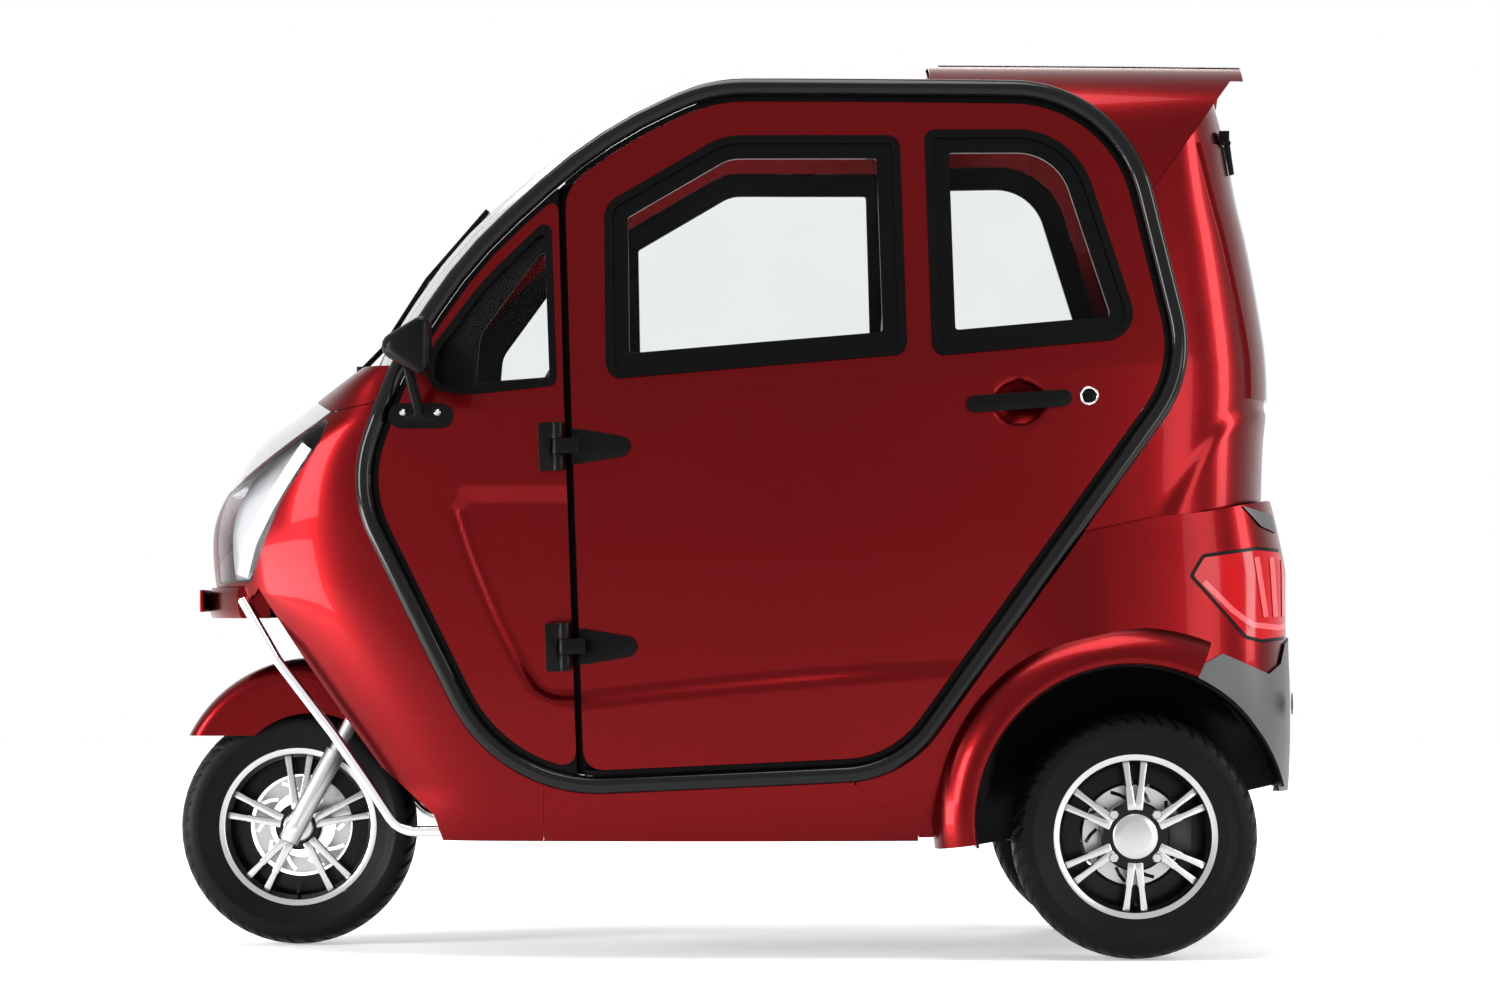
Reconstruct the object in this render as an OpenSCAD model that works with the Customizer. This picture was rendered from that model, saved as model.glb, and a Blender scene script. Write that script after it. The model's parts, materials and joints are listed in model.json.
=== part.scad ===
// Three-wheeled enclosed electric cabin scooter, in millimetres.
// X runs from the front to the rear, Y from the left to the right, Z up from the ground.

/* [Overall] */
// Overall length from the front tyre to the rear bumper
overall_l = 2200; // [2170:5:2250]
// Width of the cabin over its sides at the belt line
cabin_w = 1000; // [970:5:1030]
// Width over the flares of the rear wheel arches
arch_w = 1060; // [1050:5:1090]
// Height of the sills' lower edge above the ground
sill_z = 225; // [210:5:240]
// Thickness of the painted body skin
skin_t = 5; // [4:0.5:6]
// Joint between two fixed pieces of the body
seam = 0.6; // [0.4:0.1:0.9]
// Thickness of the window glass
glass_t = 5; // [4:0.5:6]

/* [Side surface] */
// Height of the belt crease at mid length
belt_h = 1083; // [1070:1:1095]
// Rise of the belt crease towards the rear, in mm per mm
belt_rise = 0.069; // [0.06:0.001:0.08]
// Inward lean of the sides above the belt, in mm per mm
tumblehome = 0.14; // [0.12:0.005:0.16]
// Radius of the sides' bow in plan
bow_r = 4250; // [3800:50:5000]

/* [Side hoops and roof] */
// Diameter of the hoop tube
hoop_d = 34; // [30:1:38]
// Crown of the windscreen and roof above the line between the hoops
crown = 69; // [60:1:78]
// Length of the roof panel between windscreen and spoiler
roof_l = 446; // [400:2:480]

/* [Doors and hatch] */
// Thickness of a door
door_t = 34; // [28:1:40]
// Gap between a door and the hoop around it
door_gap = 12; // [10:0.5:15]
// Gap between a door and the quarter panel in front of it
quarter_gap = 14; // [12:0.5:18]
// Width of the rubber frame around a door window
frame_w = 46; // [36:1:52]
// Height of the hinge pin above the door's skin
hinge_out = 22; // [20:1:26]
// Diameter of the door hinge pins
hinge_pin_d = 10; // [8:1:12]
// Diameter of the hatch hinge pins
hatch_pin_d = 6; // [5:0.5:8]

/* [Wheels] */
// Outer diameter of the tyres
tyre_d = 472; // [464:2:480]
// Width of the front tyre
front_tyre_w = 120; // [110:2:126]
// Width of the rear tyres
rear_tyre_w = 126; // [116:2:130]
// Diameter of the rim's outer flanges
rim_d = 336; // [326:2:344]
// Distance from the front axle to the rear axle
wheelbase = 1637; // [1620:1:1650]
// Track of the rear wheels
rear_track = 840; // [830:2:850]
// Radius of the rear wheel arch
arch_r = 300; // [292:1:306]
// Diameter of the front axle
front_axle_d = 16; // [14:1:20]
// Diameter of the rear spindles
spindle_d = 26; // [22:1:30]
// Running gap on axles, spindles, pins and the steering stem
run_gap = 0.4; // [0.35:0.05:0.6]

/* [Steering] */
// Angle of the steering axis from upright
rake = 28; // [26:0.5:30]
// Distance of the front axle ahead of the steering axis
fork_offset = 40; // [34:1:46]
// Spacing of the fork legs from the middle of the wheel
leg_y = 102; // [98:1:108]
// Diameter of the steering stem
stem_d = 40; // [34:1:46]
// Height of the handlebar along the steering axis
bar_l = 1000; // [980:5:1020]
// Width of the handlebar over its grips
bar_w = 600; // [560:10:620]

/* [Hidden] */
$fn = 64;

// Columns of the corner tables
X = 0;
Z = 1;
R = 2;

// Largest turn of one step in a rounded corner, in degrees
corner_step = 10;
// Longest step along a straight run of the hoops and the canopy
run_step = 150;
// Smallest radius of a corner that is moved inward
least_r = 6;
// Extra length of cutting tools past what they cut
over = 50;

// Places of the wheels
tyre_r = tyre_d / 2;
front_x = -overall_l / 2 + tyre_r;
rear_x = front_x + wheelbase;
rear_y = rear_track / 2;
arch_x = rear_x - 8;
arch_z = tyre_r + 29;

// Side surface: bow centre, tuck under the belt, and curl of the sill
bow_x = 150;
tuck = 0.00005;
lean_bend = 0.00002;
curl_h = belt_h - 333;
curl = 0.0027;

// Closed line of a hoop's centre, as corners of the left side with their radii
hoop_r = hoop_d / 2;
hoop_corners = [
    [-435, 325, 300],
    [324, 361, 210],
    [879, 1128, 234],
    [750, 1671, 260],
    [-36, 1675, 310],
    [-244, 1584, 900],
    [-508, 1345, 900],
    [-638, 1144, 700],
    [-725, 905, 240]];

// Front edge of a door, from its upper to its lower end
door_edge = [[-318, 1479], [-281, 412]];
door_corner_r = 40;

// Walls that the doors and the front quarters are cut from: stations and heights
door_wall = [[-330, 900], [330, 1690]];
quarter_wall = [[-740, -250], [300, 1560]];

// Window outlines: outer edge of the rubber
front_window = [[-238, 1108, 30], [338, 1156, 25], [325, 1580, 25], [-15, 1580, 120], [-243, 1447, 45]];
rear_window = [[385, 1152, 25], [790, 1190, 55], [660, 1594, 150], [372, 1591, 20]];
quarter_window = [[-331, 1097, 18], [-345, 1428, 15], [-478, 1300, 500], [-578, 1166, 90], [-586, 1088, 40],
    [-496, 1080, 200]];
quarter_rubber = 14;

// Sections of the nose: height, setback of the centre behind the front tyre, squareness in plan
SETBACK = 1;
SQUARE = 2;
nose_rows = [
    [225, 380, 2.5],
    [300, 340, 2.5],
    [400, 280, 2.5],
    [500, 210, 2.5],
    [600, 140, 2.5],
    [690, 80, 2.5],
    [732, 70, 2.5],
    [794, 66, 2.5],
    [835, 70, 2.5],
    [875, 84, 2.5],
    [923, 114, 2.5],
    [975, 148, 2.5],
    [1009, 181, 2.5],
    [1043, 231, 2.5],
    [1085, 292, 3],
    [1123, 352, 4],
    [1138, 374, 4]];
nose_step = 7.5;
tail_step = 10;
nose_end_x = -358;

// Side view of the nose: headlamp, hood garnish, shield edge and cowl joint
lamp_corners = [[-771, 1046, 6], [-790, 995, 60], [-870, 880, 200], [-915, 775, 200], [-934, 722, 12],
    [-1120, 718, 5], [-1120, 806, 5]];
lamp_inner_y = 150;
lamp_depth = 45;
garnish_corners = [[-769, 1050], [-1130, 804], [-1130, 1272]];
cowl_joint = [[-769, 1050], [-560, 1092]];
shield_edge = [[-955, 655], [-919, 711], [-830, 577], [-752, 468], [-674, 364], [-636, 332], [-570, 274],
    [-545, 200]];
lip_z = [652, 712];
lip_half = 252;
lip_out = 14;

// Sections of the upper tail: height, setback of the rear face ahead of the rear bumper
tail_rows = [
    [800, 60],
    [881, 58],
    [990, 54],
    [1070, 46],
    [1120, 46],
    [1178, 50],
    [1234, 58],
    [1322, 73],
    [1394, 87],
    [1465, 104],
    [1540, 118],
    [1617, 129],
    [1661, 141],
    [1676, 145]];
tail_start_x = 760;
tail_square = 3.5;
tail_front_x = 600;

// Sections of the lower tail: height, setback, bulge of the side
BULGE = 2;
rear_rows = [
    [232, 8, 42],
    [317, 2, 52],
    [400, 0, 58],
    [503, 0, 58],
    [600, 3, 50],
    [700, 3, 36],
    [746, 3, 28],
    [810, 15, 16],
    [846, 23, 10],
    [880, 32, 6]];
rear_start_x = 800;
rear_square = 4;
bulge_x = [480, 720];
tail_joint = [[600, 800], [676, 816], [816, 847], [908, 856], [1022, 877], [1160, 900]];
sill_joint = [[237, 336], [360, 240]];
tail_lamp_corners = [[876, 733, 10], [902, 775, 15], [1012, 790, 60], [1130, 782, 5], [1130, 616, 5],
    [1020, 605, 20], [985, 613, 20]];
tail_lamp_inner_y = 300;
tail_lamp_depth = 40;
bumper_corners = [[880, 520], [893, 560], [940, 585], [1035, 545], [1063, 564], [1075, 602], [1140, 640],
    [1140, 317], [960, 317]];
plate_pitch = 220;
plate_hole_d = 7;
plate_z = [686, 470];
pad_t = 9;
pad_x = -overall_l / 2 + 74 - lip_out - pad_t - 0.2;
bumper_out = 5;
bumper_t = 12;

// Spoiler over the rear of the roof
spoiler_base_z = 1450;
spoiler_square = 4;
spoiler_end_x = 1000;
skirt_edge = [[806, 1472], [975, 1700]];
skirt_gap = [0.4, -0.5];

// Rear hatch: half width, lower and upper edge, hinge
hatch_half = 345;
hatch_z = [1078, 1574];
hatch_open = 26;
hatch_pin_z = 1580;
hatch_hinge_y = 250;
hatch_pin_out = 14;
ear_gap = 9;
ear_w = 10;

// Floor, bulkhead and deck in side view
floor_z = sill_z + 40;
sheet_t = 6;
rail_h = 36;
rail_w = 44;
rail_y = rear_y - 170;
deck_z = 590;
heel_x = 500;
rail_z = sill_z + rail_h / 2 + 1;
rail_path = [[-540, rail_z], [430, rail_z], [520, deck_z - 40], [1000, deck_z - 40]];
wall_path = [[-560, floor_z], [-560, 500], [-590, 640], [-700, 716], [-850, 702]];
wall_half = 300;
floor_half = side_y(0, floor_z) - 31;
battery_h = 320;
seat_z = floor_z + sheet_t + battery_h + seam / 2;
bench_z = deck_z + (sheet_t + seam) / 2;
deck_half = rear_y - rear_tyre_w / 2 - 27;
// Right half of the floor in plan, from its front to its rear
floor_plan = [[wall_path[0][0], 330], [-430, 400], [-395, floor_half - 10], [-320, floor_half],
    [300, floor_half], [450, floor_half - 8], [450, deck_half], [heel_x + sheet_t / 2, deck_half]];

// Steering axis: foot opposite the front axle, and heights along the axis
steer_foot = [front_x + fork_offset * cos(rake), 0, tyre_r - fork_offset * sin(rake)];
crown_l = 366;
head_l = [430, 590];
head_r = stem_d / 2 + 12;
brace = [steer_foot + [sin(rake), 0, cos(rake)] * (head_l[1] - 40), [-470, -rail_y, floor_z - 10]];
brace_r = 18;
leg_r = 20;
upper_leg_r = 15;

// Spokes of the rims, and front brake disc
spoke_w = 16;
front_hub = [front_x, 0, tyre_r];
front_disc_y = 66;
front_disc_r = 97;

// Front fender
fender_x = 30;
fender_z = 60;
fender_r = 277;
fender_half = front_tyre_w / 2 + 14;
boss_l = 250;
boss_y = leg_y - upper_leg_r - seam / 2;

// Door hinges: heights of the middles, and length of one hinge
hinge_zs = [980, 598];
hinge_l = 92;
knuckle_r = hinge_pin_d / 2 + 6;
leaf_l = 118;

// Shapes of lines and outlines

function unit(v) = v / norm(v);

function steps(a, b, size) = let (n = max(1, ceil(abs(b - a) / size))) [for (i = [0:n]) a + (b - a) * i / n];

function smooth(t) = let (u = max(0, min(1, t))) u * u * (3 - 2 * u);

function corner_arc(a, b, c, r) =
    let (u = unit(a - b), v = unit(c - b), half = acos(u * v) / 2, mid = b + unit(u + v) * r / sin(half),
        e0 = b + u * r / tan(half) - mid, e1 = b + v * r / tan(half) - mid, sweep = 180 - 2 * half,
        n = max(1, ceil(sweep / corner_step)))
    [for (i = [0:n]) mid + (sin(sweep * (1 - i / n)) * e0 + sin(sweep * i / n) * e1) / sin(sweep)];

function grown(a, b, c, grow) =
    let (u = unit(a - b), v = unit(c - b))
    b - unit(u + v) * grow / sin(acos(u * v) / 2);

function points_of(table) = [for (q = table) [q[X], q[Z]]];

// Closed outline with rounded corners, moved outward by grow
function rounded(table, grow = 0) =
    let (n = len(table), p = points_of(table),
        g = [for (i = [0:n - 1]) grown(p[(i + n - 1) % n], p[i], p[(i + 1) % n], grow)])
    [for (i = [0:n - 1])
        each corner_arc(g[(i + n - 1) % n], g[i], g[(i + 1) % n], max(table[i][R] + grow, least_r))];

// Open line with rounded corners between its two ends
function rounded_line(table) =
    let (n = len(table), p = points_of(table))
    concat([p[0]], [for (i = [1:n - 2]) each corner_arc(p[i - 1], p[i], p[i + 1], table[i][R])], [p[n - 1]]);

// Line whose long runs are divided into steps
function divided(path, size) =
    concat([for (i = [0:len(path) - 2])
        let (run = path[i + 1] - path[i], n = max(1, ceil(norm(run) / size)))
        each [for (j = [0:n - 1]) path[i] + run * j / n]], [path[len(path) - 1]]);

// Part of a line that runs towards +X between two stations
function between(path, x0, x1) =
    let (at = [for (p = path) [p[X], p[Z]]])
    concat([[x0, lookup(x0, at)]], [for (p = path) if (p[X] > x0 + 1 && p[X] < x1 - 1) p],
        [[x1, lookup(x1, at)]]);

// Outline in plan from its right half
function whole_plan(half) = concat(half, [for (i = [len(half) - 1:-1:0]) [half[i][0], -half[i][1]]]);

// Outline of a strip of width w along an open line
function strip(path, w) =
    let (n = len(path),
        t = [for (i = [0:n - 1]) unit(unit(path[min(i + 1, n - 1)] - path[max(i, 1) - 1])
            + unit(path[min(i + 1, n - 1)] - path[i == n - 1 ? n - 2 : i]))],
        k = [for (i = [0:n - 1]) let (d = unit(path[min(i + 1, n - 1)] - path[i == n - 1 ? n - 2 : i]))
            1 / max(0.3, t[i] * d)],
        side = [for (i = [0:n - 1]) [-t[i][1], t[i][0]] * w / 2 * k[i]])
    concat([for (i = [0:n - 1]) path[i] + side[i]], [for (i = [n - 1:-1:0]) path[i] - side[i]]);

// Surfaces of the body

function belt_z(x) = belt_h + belt_rise * x;

function lean(h) = h > 0 ? -tumblehome * h - lean_bend * h * h
    : -tuck * h * h - (h < -curl_h ? curl * pow(h + curl_h, 2) : 0);

function side_y(x, z) = cabin_w / 2 + lean(z - belt_z(x)) - pow(x - bow_x, 2) / (2 * bow_r);

// Where the nose starts to turn in from the side, along the front of the hoop
function shoulder_x(z) = lookup(z, [for (i = [0, 8, 7]) [hoop_corners[i][Z], hoop_corners[i][X] + 10]]);

function nose_x(row, inset) = -overall_l / 2 + row[SETBACK] + inset;

function nose_point(row, a, inset) =
    let (z = row[0], p = 2 / row[SQUARE], s = shoulder_x(z),
        x = s - (s - nose_x(row, inset)) * pow(cos(a), p))
    [x, -sign(a) * (side_y(x, z) - inset) * pow(abs(sin(a)), p), z];

function nose_line(row, inset) =
    let (z = row[0], s = shoulder_x(z), back = [for (x = [nose_end_x, (nose_end_x + s) / 2]) x])
    concat([for (x = back) [x, side_y(x, z) - inset, z]],
        [for (a = [-90:nose_step:90]) nose_point(row, a, inset)],
        [for (i = [1, 0]) [back[i], -side_y(back[i], z) + inset, z]]);

function tail_point(z, x_end, start, square, bulge, a, inset) =
    let (p = 2 / square, x = start + (x_end - inset - start) * pow(cos(a), p),
        b = bulge * smooth((x - bulge_x[0]) / (bulge_x[1] - bulge_x[0])))
    [x, sign(a) * (side_y(x, z) + b - inset) * pow(abs(sin(a)), p), z];

function tail_line(z, setback, start, square, bulge, front, inset) =
    let (xs = [for (x = front) x], x_end = overall_l / 2 - setback,
        flank = [for (x = xs) side_y(x, z) - inset
            + bulge * smooth((x - bulge_x[0]) / (bulge_x[1] - bulge_x[0]))],
        n = len(xs))
    concat([for (i = [0:n - 1]) [xs[i], -flank[i], z]],
        [for (a = [-90:tail_step:90]) tail_point(z, x_end, start, square, bulge, a, inset)],
        [for (i = [n - 1:-1:0]) [xs[i], flank[i], z]]);

// Line of the hoop that carries the windscreen and the roof
canopy_line = divided(rounded_line([for (i = [8, 7, 6, 5, 4, 3]) hoop_corners[i]]), run_step);
screen_x = [-652, -60];
roof_x = [screen_x[1] + seam, screen_x[1] + roof_l];

function canopy_tangent(path, i) = unit(path[min(i + 1, len(path) - 1)] - path[max(i - 1, 0)]);

// Cross rows of the canopy between two stations, moved outward by out
function canopy_rows(x0, x1, out, edge) =
    let (path = between(canopy_line, x0, x1))
    [for (i = [0:len(path) - 1])
        let (t = canopy_tangent(path, i), up = [-t[1], t[0]],
            half = side_y(path[i][X], path[i][Z]) - edge)
        [for (s = [1:-1 / 6:-1.01])
            let (d = crown * (1 - s * s) + out)
            [path[i][X] + up[0] * d, s * half, path[i][Z] + up[1] * d]]];

// Solids from surfaces

// Closed sheet between two grids: rows go up and columns to the right as seen from outside
module sheet(outer, inner) {
    rows = len(outer);
    cols = len(outer[0]);
    n = rows * cols;
    faces = concat(
        [for (r = [0:rows - 2], c = [0:cols - 2]) let (a = r * cols + c, b = a + cols)
            each [[a, b + 1, a + 1], [a, b, b + 1], [n + a, n + a + 1, n + b + 1], [n + a, n + b + 1, n + b]]],
        [for (c = [0:cols - 2]) let (a = c, b = n - cols + c)
            each [[a, a + 1, n + a + 1], [a, n + a + 1, n + a], [b, n + b + 1, b + 1], [b, n + b, n + b + 1]]],
        [for (r = [0:rows - 2]) let (a = r * cols, b = a + cols, e = a + cols - 1, f = b + cols - 1)
            each [[a, n + a, n + b], [a, n + b, b], [e, f, n + f], [e, n + f, n + e]]]);
    polyhedron(concat([for (row = outer) each row], [for (row = inner) each row]), faces);
}

// Round tube along a closed line of the left side, whose last point is its first
module hoop_tube(path, r, sides = 8) {
    n = len(path) - 1;
    rings = [for (i = [0:n - 1])
        let (t = unit(path[(i + 1) % n] - path[(i + n - 1) % n]), out = [t[1], -t[0]],
            x = path[i][X], z = path[i][Z], y = -side_y(x, z))
        [for (k = [0:sides - 1]) let (a = 360 * k / sides)
            [x + out[0] * r * cos(a), y + r * sin(a), z + out[1] * r * cos(a)]]];
    faces = [for (i = [0:n - 1], k = [0:sides - 1])
        let (a = i * sides + k, b = i * sides + (k + 1) % sides, j = (i + 1) % n,
            c = j * sides + k, d = j * sides + (k + 1) % sides)
        each [[a, b, d], [a, d, c]]];
    polyhedron([for (ring = rings) each ring], faces);
}

// Wall of the left side between two stations, from out in front of the surface to deep behind it
module side_wall(xs, zs, out, deep) {
    hs = concat(zs[0] < belt_h ? steps(zs[0] - belt_h, min(0, zs[1] - belt_h), 130) : [],
        zs[1] > belt_h ? [for (h = steps(max(0, zs[0] - belt_h), zs[1] - belt_h, 150)) if (h > 1) h] : []);
    stations = steps(xs[0], xs[1], 150);
    outer = [for (h = hs) [for (x = stations) let (z = belt_z(x) + h) [x, -side_y(x, z) - out, z]]];
    inner = [for (h = hs) [for (x = stations) let (z = belt_z(x) + h) [x, -side_y(x, z) + deep, z]]];
    sheet(outer, inner);
}

// Prism through the left half of the body, from an outline in side view
module through_left(from = 0, to = cabin_w) {
    translate([0, -from, 0]) rotate([90, 0, 0]) linear_extrude(to - from) children();
}

// Prism through the whole width
module through_both(width = 2 * cabin_w) {
    translate([0, width / 2, 0]) rotate([90, 0, 0]) linear_extrude(width) children();
}

module both_sides() {
    children();
    mirror([0, 1, 0]) children();
}

// Round bar between two points
module bar(a, b, r) {
    d = b - a;
    translate(a) rotate([0, acos(d[2] / norm(d)), atan2(d[1], d[0])]) cylinder(r = r, h = norm(d));
}

// Bent line in space with rounded corners between its two ends
function bent_line(points, r) =
    let (n = len(points))
    concat([points[0]], [for (i = [1:n - 2]) each corner_arc(points[i - 1], points[i], points[i + 1], r)],
        [points[n - 1]]);

// Round tube along an open line that never runs along ref
module bent_tube(path, r, ref, sides = 8) {
    n = len(path);
    rings = [for (i = [0:n - 1])
        let (t = unit(path[min(i + 1, n - 1)] - path[max(i - 1, 0)]), u = unit(cross(t, ref)), v = cross(u, t))
        [for (k = [0:sides - 1]) let (a = 360 * k / sides) path[i] + r * (cos(a) * u + sin(a) * v)]];
    faces = concat(
        [for (i = [0:n - 2], k = [0:sides - 1])
            let (a = i * sides + k, b = i * sides + (k + 1) % sides, c = a + sides, d = b + sides)
            each [[a, b, d], [a, d, c]]],
        [[for (k = [sides - 1:-1:0]) k], [for (k = [0:sides - 1]) (n - 1) * sides + k]]);
    polyhedron([for (ring = rings) each ring], faces);
}

// Shape turned from a section whose axis lies along Y
module turned_y(at, angle = 360, start = 0, fn = $fn) {
    translate(at) rotate([90, 0, 0]) rotate_extrude(angle = angle, start = start, $fn = fn) children();
}

module steer_frame() {
    translate(steer_foot) rotate([0, rake, 0]) children();
}

// Outlines in side view

module hoop_area(grow) polygon(rounded(hoop_corners, grow));

edge_shift = hoop_r + door_gap;

// Strip of the side view behind the door's front edge, or in front of it
module behind_edge(shift) {
    slope = (door_edge[1] - door_edge[0]) / (door_edge[0][1] - door_edge[1][1]);
    top = door_edge[0] - slope * 600 + [shift, 0];
    foot = door_edge[1] + slope * 600 + [shift, 0];
    polygon([top, foot, [1500, foot[1]], [1500, top[1]]]);
}

module door_area() {
    offset(r = door_corner_r) offset(delta = -door_corner_r) intersection() {
        hoop_area(-edge_shift);
        behind_edge(0);
    }
}

module quarter_area() {
    offset(r = door_corner_r) offset(delta = -door_corner_r) difference() {
        hoop_area(-edge_shift);
        behind_edge(-quarter_gap);
    }
}

module lamp_area(gap) offset(delta = -gap) polygon(rounded(lamp_corners));

module tail_lamp_area(gap) offset(delta = -gap) polygon(rounded(tail_lamp_corners));

// Area on one side of an open line that runs to the right: above it or below it
module above(path, top = 3000) polygon(concat(path, [[path[len(path) - 1][0], top], [path[0][0], top]]));

module below(path, bottom = -100)
    polygon(concat(path, [[path[len(path) - 1][0], bottom], [path[0][0], bottom]]));

// Skins of the nose and the tail

function nose_part(z0, z1) = [for (row = nose_rows) if (row[0] >= z0 && row[0] <= z1) row];

module nose_skin(z0, z1, out, deep) {
    part = nose_part(z0, z1);
    sheet([for (row = part) nose_line(row, -out)], [for (row = part) nose_line(row, deep)]);
}

module tail_skin(z0, z1, front, out, deep) {
    part = [for (row = tail_rows) if (row[0] >= z0 && row[0] <= z1) row];
    sheet([for (row = part) tail_line(row[0], row[SETBACK], tail_start_x, tail_square, 0, front, -out)],
        [for (row = part) tail_line(row[0], row[SETBACK], tail_start_x, tail_square, 0, front, deep)]);
}

function rear_line(row, front, inset) =
    tail_line(row[0], row[SETBACK] + bumper_out, rear_start_x, rear_square, row[BULGE], front, inset);

module rear_skin(z0, z1, front, out, deep) {
    part = [for (row = rear_rows) if (row[0] >= z0 && row[0] <= z1) row];
    sheet([for (row = part) rear_line(row, front, -out)], [for (row = part) rear_line(row, front, deep)]);
}

module arch_cut(r) {
    both_sides() translate([arch_x, -cabin_w, arch_z]) rotate([-90, 0, 0])
        cylinder(r = r, h = cabin_w - 300, $fn = 128);
}

// Frame and floor

module chassis() {
    color("dimgray") {
        difference() {
            union() {
                both_sides() through_left(rail_y - rail_w / 2, rail_y + rail_w / 2)
                    polygon(strip(rail_path, rail_h));
                for (x = [-500, 60, 400])
                    translate([x, -rail_y, sill_z + 1]) cube([40, 2 * rail_y, rail_h]);
                translate([960, -rail_y, deck_z - 40 - rail_h / 2]) cube([40, 2 * rail_y, rail_h]);
                steer_frame() translate([0, 0, head_l[0]]) cylinder(r = head_r, h = head_l[1] - head_l[0]);
                both_sides() bar(brace[0], brace[1], brace_r);
            }
            steer_frame() cylinder(r = stem_d / 2 + run_gap, h = bar_l);
        }
    }
}

module floor_pan() {
    deck_path = [[heel_x + sheet_t / 2, floor_z], [heel_x + sheet_t / 2, deck_z], [1010, deck_z]];
    color("black") difference() {
        union() {
            through_both(2 * wall_half) polygon(strip(wall_path, sheet_t));
            translate([0, 0, floor_z]) linear_extrude(sheet_t)
                polygon(whole_plan(floor_plan));
            through_both(2 * deck_half) polygon(strip(deck_path, sheet_t));
        }
        steer_frame() cylinder(r = head_r + seam, h = head_l[1] + over);
        both_sides() bar(brace[0], brace[1], brace_r + seam);
        both_sides() through_left(rail_y - rail_w / 2 - seam, rail_y + rail_w / 2 + seam)
            polygon(strip(rail_path, rail_h + 2 * seam));
    }
}

module battery_box() {
    color("dimgray") translate([40, 15 - rail_y, floor_z + sheet_t])
        cube([370, 2 * (rail_y - 15), battery_h]);
}

// Front of the body

module front_fascia() {
    color("firebrick") difference() {
        nose_skin(0, 2000, 0, skin_t);
        through_both() hoop_area(hoop_r + seam);
        both_sides() through_left(lamp_inner_y) lamp_area(0);
        through_both() polygon(garnish_corners);
        through_both() polygon(strip(cowl_joint, 2));
        through_both() polygon(concat([[-1200, 655]], shield_edge, [[-1200, 100]]));
        translate([-1200, -lip_half - seam, lip_z[0]])
            cube([300, 2 * (lip_half + seam), lip_z[1] - lip_z[0] + seam]);
    }
}

module hood_garnish() {
    color("silver") intersection() {
        nose_skin(900, 1160, 0, skin_t);
        through_both() offset(delta = -seam) polygon(garnish_corners);
    }
}

module headlamps() {
    color("gainsboro") intersection() {
        nose_skin(690, 1090, 0, lamp_depth);
        both_sides() through_left(lamp_inner_y + seam) lamp_area(seam);
    }
}

module front_lip() {
    color("firebrick") intersection() {
        sheet([for (z = lip_z) nose_line([z, 74, 2.5], -lip_out)],
            [for (z = lip_z) nose_line([z, 74, 2.5], 45)]);
        translate([-1200, -lip_half, 0]) cube([300, 2 * lip_half, 1000]);
    }
}

// Chrome bar of the left side, from the lip down to the floor
crash_r = 10;
crash_path = [[-952, -lip_half - crash_r - seam / 2, 688], [-879, -315, 571], [-768, -335, 428],
    [-703, -350, 336], [-640, -360, 242], [-545, -360, 242]];

module crash_bars() {
    color("silver") both_sides() bent_tube(bent_line(crash_path, 60), crash_r, [0, 1, 0]);
}

module dashboard() {
    foot = [for (x = [-660, -628]) [x, 640 + (-590 - x) * 76 / 110 + sheet_t * 0.62 + seam]];
    profile = concat(foot, [[-600, 800], [-572, 960], [-590, 1030], [-650, 1080], [-690, 1080], [-700, 900]]);
    color("dimgray") through_both(2 * 340) polygon(profile);
}

// Sides of the body

module sill_section() {
    difference() {
        side_wall([nose_end_x + seam, 420], [200, 420], 0, skin_t);
        through_left() hoop_area(hoop_r + seam);
        through_left() below([[-500, sill_z], [600, sill_z]]);
        through_left() polygon(concat(sill_joint, [[360, 100], [900, 100], [900, 600], [237, 600]]));
    }
    translate([nose_end_x + over, -floor_half - 26, floor_z - 5 - seam]) cube([560, 44, 5]);
}

module sills() {
    color("firebrick") both_sides() sill_section();
}

module side_hoops() {
    loop = rounded(hoop_corners);
    color("black") both_sides() hoop_tube(divided(concat(loop, [loop[0]]), run_step), hoop_r);
}

module front_quarters() {
    color("firebrick") both_sides() difference() {
        intersection() {
            side_wall(quarter_wall[0], quarter_wall[1], 0, 14);
            through_left() quarter_area();
        }
        through_left() polygon(rounded(quarter_window));
    }
}

module quarter_seals() {
    color("black") both_sides() {
        difference() {
            intersection() {
                side_wall([-760, -250], [280, 1600], -4, 14);
                through_left() hoop_area(-hoop_r - seam);
            }
            through_left() offset(delta = seam / 2) quarter_area();
            through_left() behind_edge(-quarter_gap);
        }
        intersection() {
            side_wall([-620, -300], [1040, 1480], 2, 12);
            through_left() difference() {
                polygon(rounded(quarter_window, -seam / 2));
                polygon(rounded(quarter_window, -quarter_rubber));
            }
        }
    }
}

module quarter_glass() {
    color("lightgray") both_sides() intersection() {
        side_wall([-620, -300], [1040, 1480], -3, 3 + glass_t);
        through_left() polygon(rounded(quarter_window, -quarter_rubber - seam / 2));
    }
}

module windscreen() {
    color("lightgray") sheet(canopy_rows(screen_x[0], screen_x[1], 0, hoop_r + 2 * seam),
        canopy_rows(screen_x[0], screen_x[1], -glass_t, hoop_r + 2 * seam));
}

module roof_panel() {
    color("firebrick") sheet(canopy_rows(roof_x[0], roof_x[1] - seam, 0, hoop_r + 2 * seam),
        canopy_rows(roof_x[0], roof_x[1] - seam, -skin_t, hoop_r + 2 * seam));
}

// Arch of the spoiler from side to side at one station
function spoiler_row(x, inset) =
    let (p = 2 / spoiler_square, top = hoop_corners[4][Z] + crown - inset)
    [for (a = [-90:nose_step:90])
        let (z = spoiler_base_z + (top - spoiler_base_z) * pow(cos(a), p))
        [x, -sign(a) * (side_y(x, z) - inset) * pow(abs(sin(a)), p), z]];

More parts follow.
